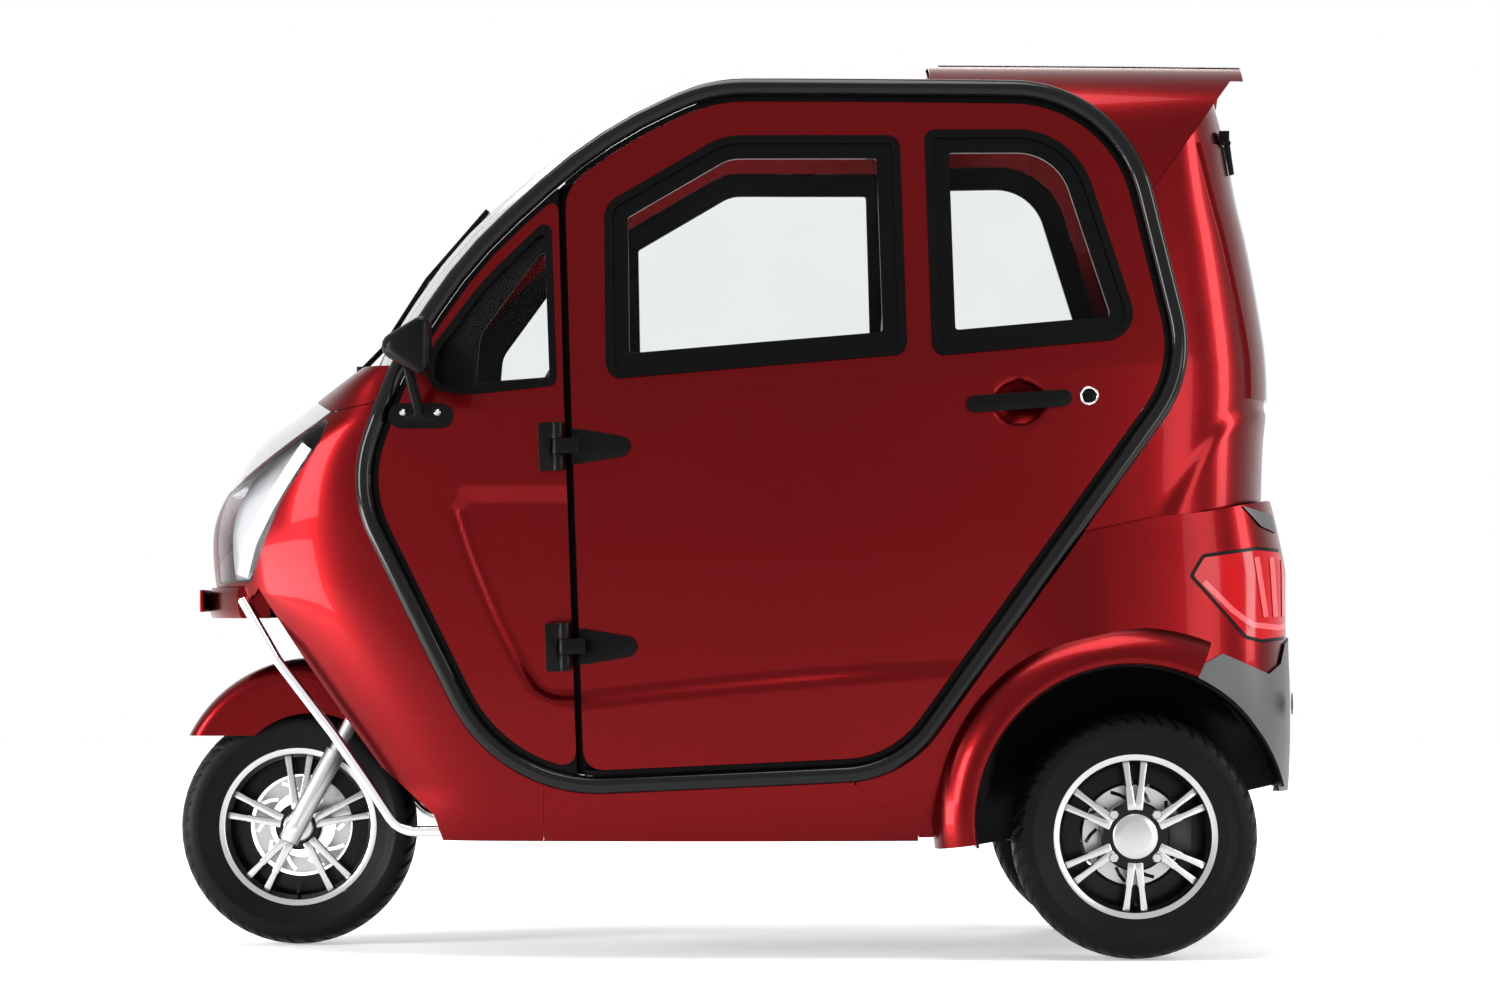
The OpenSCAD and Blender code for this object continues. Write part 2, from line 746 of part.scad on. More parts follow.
module spoiler_arch(x0, x1, out, deep) {
    xs = steps(x0, x1, 110);
    sheet([for (x = xs) spoiler_row(x, -out)], [for (x = xs) spoiler_row(x, deep)]);
}

module roof_spoiler() {
    color("firebrick") difference() {
        union() {
            spoiler_arch(roof_x[1], spoiler_end_x, 0, skin_t);
            intersection() {
                spoiler_arch(900, 990, -1, 120);
                translate([940, -cabin_w, 1672]) cube([12, 2 * cabin_w, 200]);
            }
        }
        through_both() hoop_area(hoop_r + seam);
        through_both()
            polygon([skirt_edge[0] - [300, 405], skirt_edge[0], skirt_edge[1], [1100, 1700], [1100, 1300]]);
    }
}

// Rear of the body

module tail_panels() {
    color("firebrick") difference() {
        tail_skin(0, 2000, [tail_front_x, 700], 0, skin_t);
        through_both() hoop_area(hoop_r + seam);
        through_both() below(tail_joint);
        through_both()
            above([skirt_edge[0] - [300, 404], skirt_edge[0] + skirt_gap, skirt_edge[1] + skirt_gap]);
        translate([900, -hatch_half + hatch_open, hatch_z[0] + hatch_open])
            cube([300, 2 * (hatch_half - hatch_open), hatch_z[1] - hatch_z[0] - 2 * hatch_open]);
    }
}

module flare() {
    flare_y = arch_w / 2;
    section = [[arch_r, 470], [arch_r, flare_y - 6], [arch_r + 8, flare_y], [arch_r + 26, flare_y - 4],
        [arch_r + 52, flare_y - 22], [arch_r + 72, flare_y - 48], [arch_r + 78, 440], [arch_r + 40, 440]];
    turned_y([arch_x, 0, arch_z], 122, 66, 128) polygon(section);
}

module rear_body() {
    color("firebrick") difference() {
        union() {
            difference() {
                rear_skin(0, 1000, [240, 400, 500, 600, 700], 0, skin_t);
                arch_cut(arch_r + 2);
            }
            both_sides() flare();
        }
        through_both() hoop_area(hoop_r + seam);
        through_both() above(tail_joint);
        through_both() polygon(concat([for (p = sill_joint) p + [seam, 0]], [[361, 100], [0, 100], [0, 336]]));
        through_both() below([[-500, sill_z], [1300, sill_z]]);
        both_sides() through_left(tail_lamp_inner_y) tail_lamp_area(0);
        through_both() offset(delta = seam) polygon(bumper_corners);
        through_both() below([[880, 530], [1300, 530]]);
    }
}

module tail_lamps() {
    color("red") intersection() {
        rear_skin(590, 820, [700], 0, tail_lamp_depth);
        both_sides() through_left(tail_lamp_inner_y + seam) tail_lamp_area(seam);
    }
}

// Pair of bolt holes for a number plate
module plate_holes(x, z) {
    for (y = [-plate_pitch / 2, plate_pitch / 2])
        translate([x - over, y, z]) rotate([0, 90, 0]) cylinder(d = plate_hole_d, h = 2 * over);
}

module bumpers() {
    color("dimgray") {
        difference() {
            intersection() {
                rear_skin(300, 710, [700], bumper_out, bumper_t);
                through_both() polygon(bumper_corners);
            }
            arch_cut(arch_r + 2);
            plate_holes(overall_l / 2 - 40, plate_z[1]);
        }
        difference() {
            translate([pad_x, -150, 664]) cube([pad_t, 300, 44]);
            plate_holes(pad_x, plate_z[0]);
        }
    }
}

module wheel_houses() {
    house_r = arch_r - seam;
    color("black") both_sides() difference() {
        turned_y([arch_x, 0, arch_z], 177, 13, 128)
            polygon([[0, deck_half + seam], [house_r, deck_half + seam], [house_r, rear_y + 42],
                [house_r - 5, rear_y + 42],
                [house_r - 5, deck_half + seam + 5], [0, deck_half + seam + 5]]);
        translate([arch_x, -cabin_w, tyre_r]) rotate([-90, 0, 0]) cylinder(r = 130, h = cabin_w);
    }
}

rear_disc_y = rear_y - 40;
rear_disc_r = 96;

module rear_axle() {
    axle_r = 30;
    flange_y = rear_disc_y - 22;
    arm_y = rear_y - 130;
    shock_y = rear_y - 115;
    color("dimgray") {
        translate([rear_x, 0, tyre_r]) rotate([90, 0, 0]) {
            cylinder(r = axle_r, h = 2 * flange_y, center = true);
            cylinder(r = spindle_d / 2, h = 2 * (rear_y + 30), center = true);
            translate([0, 0, -90]) cylinder(r = 92, h = 190);
        }
        both_sides() {
            bar([rear_x, -arm_y, tyre_r], [470, -arm_y, sill_z + rail_h / 2], 20);
            bar([rear_x + 20, -shock_y, tyre_r + 20], [rear_x + 34, -shock_y, deck_z - sheet_t / 2 - 1], 16);
            difference() {
                union() {
                    translate([rear_x + 50, -rear_disc_y - 18, tyre_r - 30]) cube([62, 50, 70]);
                    translate([rear_x, -flange_y, tyre_r - 15]) cube([60, 14, 30]);
                }
                translate([rear_x, -rear_disc_y, tyre_r]) rotate([90, 0, 0])
                    cylinder(r = rear_disc_r + 3, h = 11, center = true);
            }
        }
    }
}

// Seats

module driver_seat() {
    cushion = [[-110, seat_z, 40], [330, seat_z, 40], [330, seat_z + 142, 50], [-110, seat_z + 162, 60]];
    back = [[232, 690, 40], [340, 690, 40], [420, 1385, 40], [312, 1385, 40]];
    head = [[318, 1412, 20], [392, 1412, 20], [400, 1512, 25], [328, 1512, 25]];
    color("dimgray") {
        through_both(470) polygon(rounded(cushion));
        difference() {
            through_both(450) polygon(rounded(back));
            through_both(480) polygon(rounded(cushion, seam));
        }
        through_both(250) polygon(rounded(head));
        for (y = [-60, 60]) translate([358, y, 1380]) cylinder(r = 6, h = 40);
    }
}

module rear_seat() {
    cushion = [[540, bench_z, 30], [880, bench_z, 30], [880, bench_z + 116, 40], [540, bench_z + 136, 50]];
    back = [[846, bench_z + 60, 30], [930, bench_z + 60, 30], [975, 1080, 35], [895, 1080, 35]];
    color("dimgray") {
        through_both(2 * deck_half) polygon(rounded(cushion));
        difference() {
            through_both(2 * deck_half) polygon(rounded(back));
            through_both(2 * deck_half + over) polygon(rounded(cushion, seam));
        }
    }
}

// Mirrors, wiper and hinge bases on the body

module mirrors() {
    base = [-595, 1040];
    color("black") both_sides() {
        difference() {
            union() {
                hull() for (dx = [-36, 40])
                    translate([base[0] + dx, -side_y(base[0], base[1]), base[1]])
                        rotate([90, 0, 0]) cylinder(r = 24, h = 26, center = true, $fn = 24);
                bar([base[0], -side_y(base[0], base[1]), base[1]], [-612, -530, 1130], 10);
            }
            side_wall(quarter_wall[0], quarter_wall[1], seam / 2, 60);
        }
        hull() {
            translate([-632, -520, 1165]) sphere(r = 24, $fn = 18);
            translate([-630, -600, 1165]) sphere(r = 26, $fn = 18);
            for (y = [-500, -620], z = [1126, 1206]) translate([-582, y, z]) sphere(r = 14, $fn = 14);
        }
    }
}

wiper_x = -745;
wiper_r = 7;

module wiper() {
    rows = canopy_rows(screen_x[0], screen_x[1], 12, hoop_r);
    mid = [for (row = rows) row[6]];
    blade = [for (z = [1190, 1330, 1470]) [lookup(z, [for (p = mid) [p[2], p[0]]]), z]];
    hood = [for (row = nose_rows) if (row[0] > 900) [nose_x(row, 0), row[0]]];
    foot_z = lookup(wiper_x + wiper_r, hood) + seam / 2;
    color("black") {
        through_both(12) polygon(strip(concat([[wiper_x, foot_z + 14]], blade), 10));
        translate([wiper_x, 0, foot_z]) cylinder(r = wiper_r, h = 26);
    }
}

hinge_y = -side_y(door_edge[0][0], hinge_zs[0]) - hinge_out;
hinge_lean = atan2(door_edge[0][0] - door_edge[1][0], door_edge[0][1] - door_edge[1][1]);

function hinge_x(z) = door_edge[0][0] + (z - door_edge[0][1]) * (door_edge[0][0] - door_edge[1][0])
    / (door_edge[0][1] - door_edge[1][1]) - quarter_gap - 14;

module hinge_frame(z) translate([hinge_x(z), hinge_y, z]) rotate([0, hinge_lean, 0]) children();

module hinge_base() {
    third = hinge_l / 3;
    for (s = [-1, 1]) translate([0, 0, s * third - third / 2]) {
        cylinder(r = knuckle_r, h = third);
        translate([-34, 0, 0]) cube([34, knuckle_r, third]);
    }
    translate([-36, 0, -hinge_l / 2]) cube([22, hinge_out + 30, hinge_l]);
    translate([0, 0, -hinge_l / 2]) cylinder(d = hinge_pin_d, h = hinge_l);
}

module hinge_bases() {
    color("black") {
        both_sides() difference() {
            for (z = hinge_zs) hinge_frame(z) hinge_base();
            side_wall(quarter_wall[0], quarter_wall[1], seam / 2, 60);
        }
        both_sides() for (y = [-hatch_hinge_y - ear_gap - ear_w, -hatch_hinge_y + ear_gap]) hatch_ear(y);
    }
}

// Steering

module fork() {
    crown_half = leg_y + leg_r + 4;
    crown_edge = [[-fork_offset - leg_r - 8, crown_half], [-fork_offset + leg_r, crown_half],
        [head_r + 6, 50]];
    color("silver") {
        steer_frame() {
            for (s = [-1, 1]) {
                translate([-fork_offset, s * leg_y, -28]) cylinder(r = leg_r, h = 200);
                translate([-fork_offset, s * leg_y, 172]) cylinder(r = upper_leg_r, h = crown_l - 172);
            }
            translate([0, 0, crown_l]) linear_extrude(26) polygon(whole_plan(crown_edge));
            translate([0, 0, crown_l + 10]) cylinder(r = stem_d / 2, h = bar_l - crown_l - 10);
        }
        translate([front_x, 0, tyre_r]) rotate([90, 0, 0])
            cylinder(d = front_axle_d, h = 2 * (leg_y + leg_r + 4), center = true);
        difference() {
            steer_frame() translate([-fork_offset + 14, front_disc_y - 12, 40])
                cube([66, leg_y - front_disc_y + 12, 74]);
            translate(front_hub + [0, front_disc_y, 0]) rotate([90, 0, 0])
                cylinder(r = front_disc_r + 4, h = 10, center = true);
        }
    }
}

module front_fender() {
    r0 = fender_r;
    h = fender_half;
    t = 4;
    section = [[r0, 0], [r0 - 4, h * 0.5], [r0 - 18, h * 0.85], [r0 - 42, h], [r0 - 110, h], [r0 - 110, h - t],
        [r0 - 42, h - t], [r0 - 20, h * 0.85 - t], [r0 - 8, h * 0.5 - 1], [r0 - t, 0]];
    color("firebrick") {
        difference() {
            translate([front_x + fender_x, 0, tyre_r + fender_z]) both_sides()
                rotate([90, 0, 0]) rotate_extrude(angle = 118, start = 36, $fn = 128) polygon(section);
            translate([front_x - 400, -200, 0]) cube([800, 400, tyre_r + 182]);
        }
        both_sides() steer_frame() translate([-fork_offset, -boss_y, boss_l])
            rotate([-90, 0, 0]) cylinder(r = 12, h = boss_y - fender_half + 2);
    }
}

module handlebar() {
    half = bar_w / 2;
    line = [[0, 5, bar_l + 20], [10, -70, bar_l + 24], [36, -half * 0.6, bar_l + 44], [60, -half, bar_l + 30]];
    grip = unit(line[3] - line[2]);
    color("black") steer_frame() {
        translate([0, 0, bar_l + 0.1]) cylinder(r = 30, h = 40);
        both_sides() {
            bent_tube(bent_line(line, 30), 11, [0, 0, 1]);
            bar(line[2] + grip * 12, line[3], 17);
            bar(line[2] - grip * 34, line[2] + grip * 8, 24);
            translate(line[2] + [-20, 10, 10]) cylinder(r = 19, h = 40);
        }
    }
}

// Wheels

module tyre(at, w, bulge) {
    h = w / 2;
    r = tyre_r;
    b = rim_d / 2 - 10;
    section = [[b, -h * 0.72], [b + 16, -h * 0.82], [b + 40, -h * bulge], [r - 34, -h], [r - 12, -h * 0.86],
        [r - 3, -h * 0.5], [r, 0], [r - 3, h * 0.5], [r - 12, h * 0.86], [r - 34, h], [b + 40, h * bulge],
        [b + 16, h * 0.82], [b, h * 0.72]];
    turned_y(at, fn = 128) polygon(section);
}

// Opening of a rim between two radii; edge is the angle to the middles of the spokes beside it
function rim_window(r0, r1, mid, edge) =
    let (side = function(r) edge - asin(spoke_w / 2 / r))
    concat([for (r = [r0, r1]) r * [cos(mid - side(r)), sin(mid - side(r))]],
        [for (k = [-0.5:0.5:0.5]) r1 * [cos(mid + k * side(r1)), sin(mid + k * side(r1))]],
        [for (r = [r1, r0]) r * [cos(mid + side(r)), sin(mid + side(r))]]);

// Rim with pairs of spokes, its outer face towards the side that face says
module rim(at, w, spokes, pair, face, hub_r, bore_r) {
    b = rim_d / 2 - 10 - 0.3;
    h = w / 2;
    pitch = 360 / spokes;
    translate(at) rotate([90, 0, 0]) difference() {
        union() {
            rotate_extrude($fn = 128)
                polygon([[b - 7, -h * 0.71], [b, -h * 0.71], [b, h * 0.71], [b - 7, h * 0.71]]);
            translate([0, 0, face * h * 0.42 - 10]) difference() {
                cylinder(r = b - 3, h = 20, $fn = 128);
                for (i = [0:spokes - 1]) translate([0, 0, -1]) linear_extrude(22) {
                    polygon(rim_window(hub_r + 22, b - 16, pitch * i, pair));
                    polygon(rim_window(hub_r + 8, b - 12, pitch * (i + 0.5), pitch / 2 - pair));
                }
            }
            cylinder(r = hub_r, h = h * 1.1, center = true);
        }
        cylinder(r = bore_r, h = 3 * w, center = true);
    }
}

module disc(at, y, r) {
    translate([at[0], at[1] + y, at[2]]) rotate([90, 0, 0]) difference() {
        cylinder(r = r, h = 4, center = true);
        cylinder(r = 30, h = 10, center = true);
        for (i = [0:9]) rotate(36 * i) translate([r - 18, 0, 0])
            cylinder(r = 5, h = 10, center = true, $fn = 24);
    }
}

module front_tyre() {
    color("black") tyre(front_hub, front_tyre_w, 0.94);
}

module front_rim() {
    color("silver") {
        rim(front_hub, front_tyre_w, 5, 11, 1, 34, front_axle_d / 2 + run_gap);
        difference() {
            union() {
                disc(front_hub, front_disc_y, front_disc_r);
                translate(front_hub) rotate([-90, 0, 0]) cylinder(r = 31, h = front_disc_y + 1);
            }
            translate(front_hub) rotate([90, 0, 0]) {
                cylinder(d = front_axle_d + 2 * run_gap, h = 300, center = true);
                cylinder(r = 40, h = front_tyre_w * 0.55 + 0.02, center = true);
            }
        }
    }
}

// Step from the disc's middle to the inner end of the hub
rear_hub_gap = rear_y - rear_disc_y - rear_tyre_w / 2 * 0.55 - 0.02;

module rear_rim_left() {
    hub = [rear_x, -rear_y, tyre_r];
    color("silver") {
        rim(hub, rear_tyre_w, 6, 9, 1, 46, spindle_d / 2 + run_gap);
        difference() {
            translate([rear_x, -rear_disc_y, tyre_r]) rotate([90, 0, 0]) {
                cylinder(r = rear_disc_r, h = 5, center = true);
                cylinder(r = 44, h = rear_hub_gap);
            }
            translate(hub) rotate([90, 0, 0]) cylinder(d = spindle_d + 2 * run_gap, h = 400, center = true);
        }
    }
}

module rear_rim_right() {
    mirror([0, 1, 0]) rear_rim_left();
}

module rear_tyre_left() {
    color("black") tyre([rear_x, -rear_y, tyre_r], rear_tyre_w, 0.96);
}

module rear_tyre_right() {
    color("black") tyre([rear_x, rear_y, tyre_r], rear_tyre_w, 0.96);
}

// Doors, drawn on the left

handle_at = [551, 1066];
lock_at = [685, 1077];

module door_panel() {
    difference() {
        intersection() {
            side_wall(door_wall[0], door_wall[1], 0, door_t);
            through_left() door_area();
        }
        through_left() polygon(rounded(front_window));
        through_left() polygon(rounded(rear_window));
        translate([handle_at[0], -side_y(handle_at[0], handle_at[1]) - 44, handle_at[1]]) sphere(r = 62);
    }
}

module window_frame(window, xs, zs) {
    intersection() {
        side_wall(xs, zs, 3, 16);
        through_left() difference() {
            polygon(rounded(window, -seam / 2));
            polygon(rounded(window, -frame_w));
        }
    }
}

module door_frames() {
    window_frame(front_window, [-260, 350], [1060, 1600]);
    window_frame(rear_window, [360, 800], [1090, 1610]);
}

module window_glass(window, xs, zs) {
    intersection() {
        side_wall(xs, zs, -4, 4 + glass_t);
        through_left() polygon(rounded(window, -frame_w - seam / 2));
    }
}

module door_glass() {
    window_glass(front_window, [-260, 350], [1060, 1600]);
    window_glass(rear_window, [360, 800], [1090, 1610]);
}

module hinge_leaf(z) {
    third = hinge_l / 3 - 2;
    difference() {
        union() {
            hinge_frame(z) {
                translate([0, 0, -third / 2]) cylinder(r = knuckle_r, h = third);
                translate([0, -knuckle_r, -third / 2]) cube([40, knuckle_r + hinge_out - 4, third]);
            }
            intersection() {
                side_wall([-320, -150], [z - 120, z + 120], 9, 2);
                through_left() translate([hinge_x(z) + 26, z]) hull() {
                    translate([0, -34]) square([10, 68]);
                    translate([leaf_l - 26, 0]) circle(r = 20, $fn = 32);
                }
            }
        }
        hinge_frame(z) cylinder(r = hinge_pin_d / 2 + run_gap, h = 2 * hinge_l, center = true);
    }
}

module door_handle() {
    translate([handle_at[0], -side_y(handle_at[0], handle_at[1]) - 16, handle_at[1]]) {
        hull() for (dx = [-84, 84])
            translate([dx, 0, dx * belt_rise]) rotate([90, 0, 0])
                cylinder(r = 16, h = 12, center = true, $fn = 32);
        for (dx = [-84, 84]) translate([dx, 0, dx * belt_rise]) rotate([-90, 0, 0]) cylinder(r = 13, h = 30);
    }
}

module door_fittings() {
    difference() {
        union() {
            for (z = hinge_zs) hinge_leaf(z);
            door_handle();
            translate([lock_at[0], -side_y(lock_at[0], lock_at[1]) - 4, lock_at[1]])
                rotate([-90, 0, 0]) cylinder(r = 14, h = 20);
        }
        side_wall(door_wall[0], door_wall[1], seam / 2, 60);
    }
}

module door_left() {
    color("firebrick") door_panel();
}

module door_left_frames() {
    color("black") door_frames();
}

module door_left_glass() {
    color("lightgray") door_glass();
}

module door_left_fittings() {
    color("black") door_fittings();
}

module door_right() {
    color("firebrick") mirror([0, 1, 0]) door_panel();
}

module door_right_frames() {
    color("black") mirror([0, 1, 0]) door_frames();
}

module door_right_glass() {
    color("lightgray") mirror([0, 1, 0]) door_glass();
}

module door_right_fittings() {
    color("black") mirror([0, 1, 0]) door_fittings();
}

// Rear hatch

tail_set = [for (row = tail_rows) [row[0], row[SETBACK]]];
hatch_pin_x = tail_x(hatch_pin_z, hatch_hinge_y) + hatch_pin_out;

// Place of the tail's skin at a height and a distance from the middle, moved outward by out
function tail_x(z, y, out = 0) = tail_reach(z, y, out, tail_reach(z, y, out, overall_l / 2 - 120));

function tail_reach(z, y, out, at) =
    let (end = overall_l / 2 - lookup(z, tail_set) + out, share = abs(y) / (side_y(at, z) + out))
    tail_start_x + (end - tail_start_x) * pow(1 - pow(share, tail_square), 1 / tail_square);

module hatch_glass() {
    color("lightgray") intersection() {
        tail_skin(1060, 1620, [740], 1 + glass_t, -1);
        translate([900, -hatch_half, hatch_z[0]]) cube([300, 2 * hatch_half, hatch_z[1] - hatch_z[0]]);
    }
}

// Ear on the tail above the hatch, from y towards the middle, seated on the skin
module hatch_ear(y) {
    seat = tail_x(hatch_pin_z, y + ear_w) + seam / 2;
    translate([hatch_pin_x, y, hatch_pin_z]) difference() {
        union() {
            rotate([-90, 0, 0]) cylinder(r = hatch_pin_d / 2 + 3, h = ear_w);
            translate([seat - hatch_pin_x, 0, -2]) cube([hatch_pin_x - seat + 3, ear_w, 26]);
        }
        rotate([-90, 0, 0]) cylinder(r = hatch_pin_d / 2 + run_gap, h = 4 * ear_w, center = true);
    }
}

// Hinge leaf of the hatch: a block on the pin that is cut to lie on the glass
module hatch_fittings() {
    half = ear_gap - 1;
    skin = [for (z = [hatch_pin_z - 62, hatch_pin_z])
        tail_x(z, hatch_hinge_y - half, 1 + glass_t) + seam / 2];
    outline = [[skin[0], hatch_pin_z - 62], [skin[0] + 8, hatch_pin_z - 60], [hatch_pin_x + 5, hatch_pin_z],
        [hatch_pin_x - 3, hatch_pin_z], [skin[1], hatch_pin_z - 8]];
    color("black") both_sides() {
        translate([hatch_pin_x, -hatch_hinge_y, hatch_pin_z]) rotate([90, 0, 0])
            cylinder(r = hatch_pin_d / 2, h = 2 * (ear_gap + ear_w), center = true);
        through_left(hatch_hinge_y - half, hatch_hinge_y + half) polygon(outline);
    }
}

chassis();
floor_pan();
front_fascia();
hood_garnish();
headlamps();
front_lip();
crash_bars();
sills();
side_hoops();
front_quarters();
quarter_seals();
quarter_glass();
windscreen();
roof_panel();
roof_spoiler();
tail_panels();
rear_body();
tail_lamps();
bumpers();
wheel_houses();
mirrors();
wiper();
dashboard();
driver_seat();
rear_seat();
battery_box();
rear_axle();
hinge_bases();
fork();
front_fender();
handlebar();
front_tyre();
front_rim();
rear_tyre_left();
rear_rim_left();
rear_tyre_right();
rear_rim_right();
door_left();
door_left_frames();
door_left_glass();
door_left_fittings();
door_right();
door_right_frames();
door_right_glass();
door_right_fittings();
hatch_glass();
hatch_fittings();
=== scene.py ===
"""Dressed model of a three-wheeled enclosed electric cabin scooter, in metres.

X runs from the front to the rear, Y from the left to the right and Z up from the ground.
"""

import json
import logging
import math
from dataclasses import dataclass, field
from enum import Enum
from typing import Callable, Optional, Sequence

import bmesh
import bpy
from mathutils import Matrix, Vector

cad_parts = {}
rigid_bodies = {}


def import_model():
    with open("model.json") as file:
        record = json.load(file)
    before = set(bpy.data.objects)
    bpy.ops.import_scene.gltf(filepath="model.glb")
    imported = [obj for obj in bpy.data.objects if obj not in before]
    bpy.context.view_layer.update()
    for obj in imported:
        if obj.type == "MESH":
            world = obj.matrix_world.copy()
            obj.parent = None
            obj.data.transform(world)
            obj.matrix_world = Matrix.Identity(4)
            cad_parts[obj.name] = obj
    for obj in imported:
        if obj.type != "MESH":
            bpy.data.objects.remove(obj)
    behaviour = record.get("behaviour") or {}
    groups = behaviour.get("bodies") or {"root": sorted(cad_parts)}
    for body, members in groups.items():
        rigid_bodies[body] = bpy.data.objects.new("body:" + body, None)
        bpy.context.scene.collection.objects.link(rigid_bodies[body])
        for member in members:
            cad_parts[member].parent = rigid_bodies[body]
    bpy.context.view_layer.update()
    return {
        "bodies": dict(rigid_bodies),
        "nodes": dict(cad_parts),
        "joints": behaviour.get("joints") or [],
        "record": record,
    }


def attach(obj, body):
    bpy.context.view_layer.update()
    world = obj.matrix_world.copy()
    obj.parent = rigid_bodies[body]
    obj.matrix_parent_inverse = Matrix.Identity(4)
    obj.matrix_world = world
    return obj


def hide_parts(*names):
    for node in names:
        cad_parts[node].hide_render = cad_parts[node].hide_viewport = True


LOG = logging.getLogger("cabin_scooter")
SEAM = 0.0006  # Gap between neighbouring pieces.
OVER = 1.2  # Reach of a cutter past the sides.
CLOSE = 1e-6  # Points nearer than this are one point.
SMOOTH_ANGLE = math.radians(34)
ARC_STEP = math.radians(5)
ACROSS = Vector((0, 1, 0))

Outline = list[Vector]
PointMap = Callable[[float, float, float], Vector]
Rows = Sequence[Sequence[float]]


class Body(str, Enum):
    """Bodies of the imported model."""

    SHELL = "body"
    STEERING = "steering"
    FRONT_WHEEL = "front_wheel"
    REAR_LEFT = "rear_wheel_left"
    REAR_RIGHT = "rear_wheel_right"
    LEFT_DOOR = "left_door"
    RIGHT_DOOR = "right_door"
    HATCH = "hatch"


class Cut(str, Enum):
    """Ways in which a prism works on a skin."""

    KEEP = "INTERSECT"
    TAKE = "DIFFERENCE"


class Grain(Enum):
    """Surface detail of a finish: noise scale, bump distance in metres."""

    FLAKE = (2600.0, 0.00002)
    MOULDED = (900.0, 0.0002)
    LEATHER = (420.0, 0.0005)
    BRUSHED = (300.0, 0.00006)
    CLEAN = (60.0, 0.00001)


CutStep = tuple[Cut, bpy.types.Object]


@dataclass(frozen=True)
class Finish:
    """A procedural material with a grain and slow variation of colour and gloss."""

    name: str
    slot: str
    color: tuple[float, float, float]
    rough: float = 0.4
    metal: float = 0.0
    coat: float = 0.0
    clear: float = 0.0
    grain: Grain = Grain.CLEAN
    vary: float = 0.08
    ior: float = 1.5
    coat_rough: float = 0.03
    slow_scale: float = 7.0
    gloss_vary: float = 0.15
    bump: float = 0.6

    def noise(self, tree: bpy.types.NodeTree, scale: float, detail: float) -> bpy.types.ShaderNode:
        """Adds a noise on Object coordinates.

        Args:
            tree: The material's nodes.
            scale: Scale of the noise.
            detail: Number of its octaves.

        Returns:
            The noise node.
        """
        place = tree.nodes.new("ShaderNodeTexCoord")
        made = tree.nodes.new("ShaderNodeTexNoise")
        made.inputs["Scale"].default_value = scale
        made.inputs["Detail"].default_value = detail
        tree.links.new(place.outputs["Object"], made.inputs["Vector"])
        return made

    def material(self) -> bpy.types.Material:
        """Makes the finish's material at its first use.

        Returns:
            The Blender material.
        """
        known = bpy.data.materials.get(self.name)
        if known is not None:
            return known
        made = bpy.data.materials.new(self.name)
        made.use_nodes = True
        tree = made.node_tree
        shader = tree.nodes["Principled BSDF"]
        for key, value in (("Metallic", self.metal), ("Coat Weight", self.coat),
                           ("Coat Roughness", self.coat_rough), ("IOR", self.ior),
                           ("Transmission Weight", self.clear)):
            shader.inputs[key].default_value = value
        scale, depth = self.grain.value
        slow, fine = self.noise(tree, self.slow_scale, 3.0), self.noise(tree, scale, 2.0)
        tint = tree.nodes.new("ShaderNodeMix")
        tint.data_type = "RGBA"
        for socket, sign in ((6, -1), (7, 1)):
            shade = [min(1.0, part * (1 + sign * self.vary)) for part in self.color]
            tint.inputs[socket].default_value = (*shade, 1.0)
        source = fine if self.grain is Grain.FLAKE else slow
        tree.links.new(source.outputs["Fac"], tint.inputs[0])
        tree.links.new(tint.outputs[2], shader.inputs["Base Color"])
        gloss = tree.nodes.new("ShaderNodeMapRange")
        gloss.inputs["To Min"].default_value = max(0.0, self.rough * (1 - self.gloss_vary))
        gloss.inputs["To Max"].default_value = min(1.0, self.rough * (1 + self.gloss_vary))
        tree.links.new(slow.outputs["Fac"], gloss.inputs["Value"])
        tree.links.new(gloss.outputs["Result"], shader.inputs["Roughness"])
        if self.clear == 0.0:
            bump = tree.nodes.new("ShaderNodeBump")
            bump.inputs["Distance"].default_value = depth
            bump.inputs["Strength"].default_value = self.bump
            tree.links.new(fine.outputs["Fac"], bump.inputs["Height"])
            tree.links.new(bump.outputs["Normal"], shader.inputs["Normal"])
        return made


PAINT = Finish("candy_red_paint", "painted", (0.12, 0.0034, 0.0046), 0.27, 1.0, 0.08, grain=Grain.FLAKE,
               vary=0.12)
HOOP_BLACK = Finish("hoop_gloss_black", "black_paint", (0.003, 0.003, 0.003), 0.12, ior=1.28)
FRAME_BLACK = Finish("frame_black_paint", "black_paint", (0.018, 0.018, 0.019), 0.45, grain=Grain.MOULDED)
RUBBER = Finish("window_rubber", "rubber", (0.002, 0.002, 0.002), 0.32, grain=Grain.MOULDED, ior=1.14)
TINT = Finish("hatch_tinted_glass", "glass", (0.10, 0.11, 0.11), 0.03, clear=1.0, vary=0.02, ior=1.2)
GLASS = Finish("window_glass", "glass", (0.90, 0.92, 0.92), 0.02, clear=1.0, vary=0.02, ior=1.1)
SILVER = Finish("garnish_silver", "silver_plastic", (0.42, 0.42, 0.43), 0.25, 0.6, 0.7, grain=Grain.FLAKE,
                vary=0.1)
LENS = Finish("lamp_lens", "lamp_clear", (0.95, 0.96, 0.97), 0.02, clear=1.0, vary=0.02, ior=1.15)
STRIP_WHITE = Finish("lamp_light_strip", "lamp_clear", (0.85, 0.86, 0.88), 0.3)
REFLECTOR = Finish("lamp_reflector", "chrome", (0.55, 0.55, 0.56), 0.3, 0.5)
RED_LENS = Finish("tail_lens", "lamp_red", (0.42, 0.003, 0.006), 0.10, vary=0.1, ior=1.25)
PINK_LENS = Finish("tail_strip", "lamp_red", (0.60, 0.09, 0.10), 0.2, ior=1.3)
CHROME = Finish("bar_chrome", "chrome", (0.80, 0.80, 0.82), 0.07, 1.0)
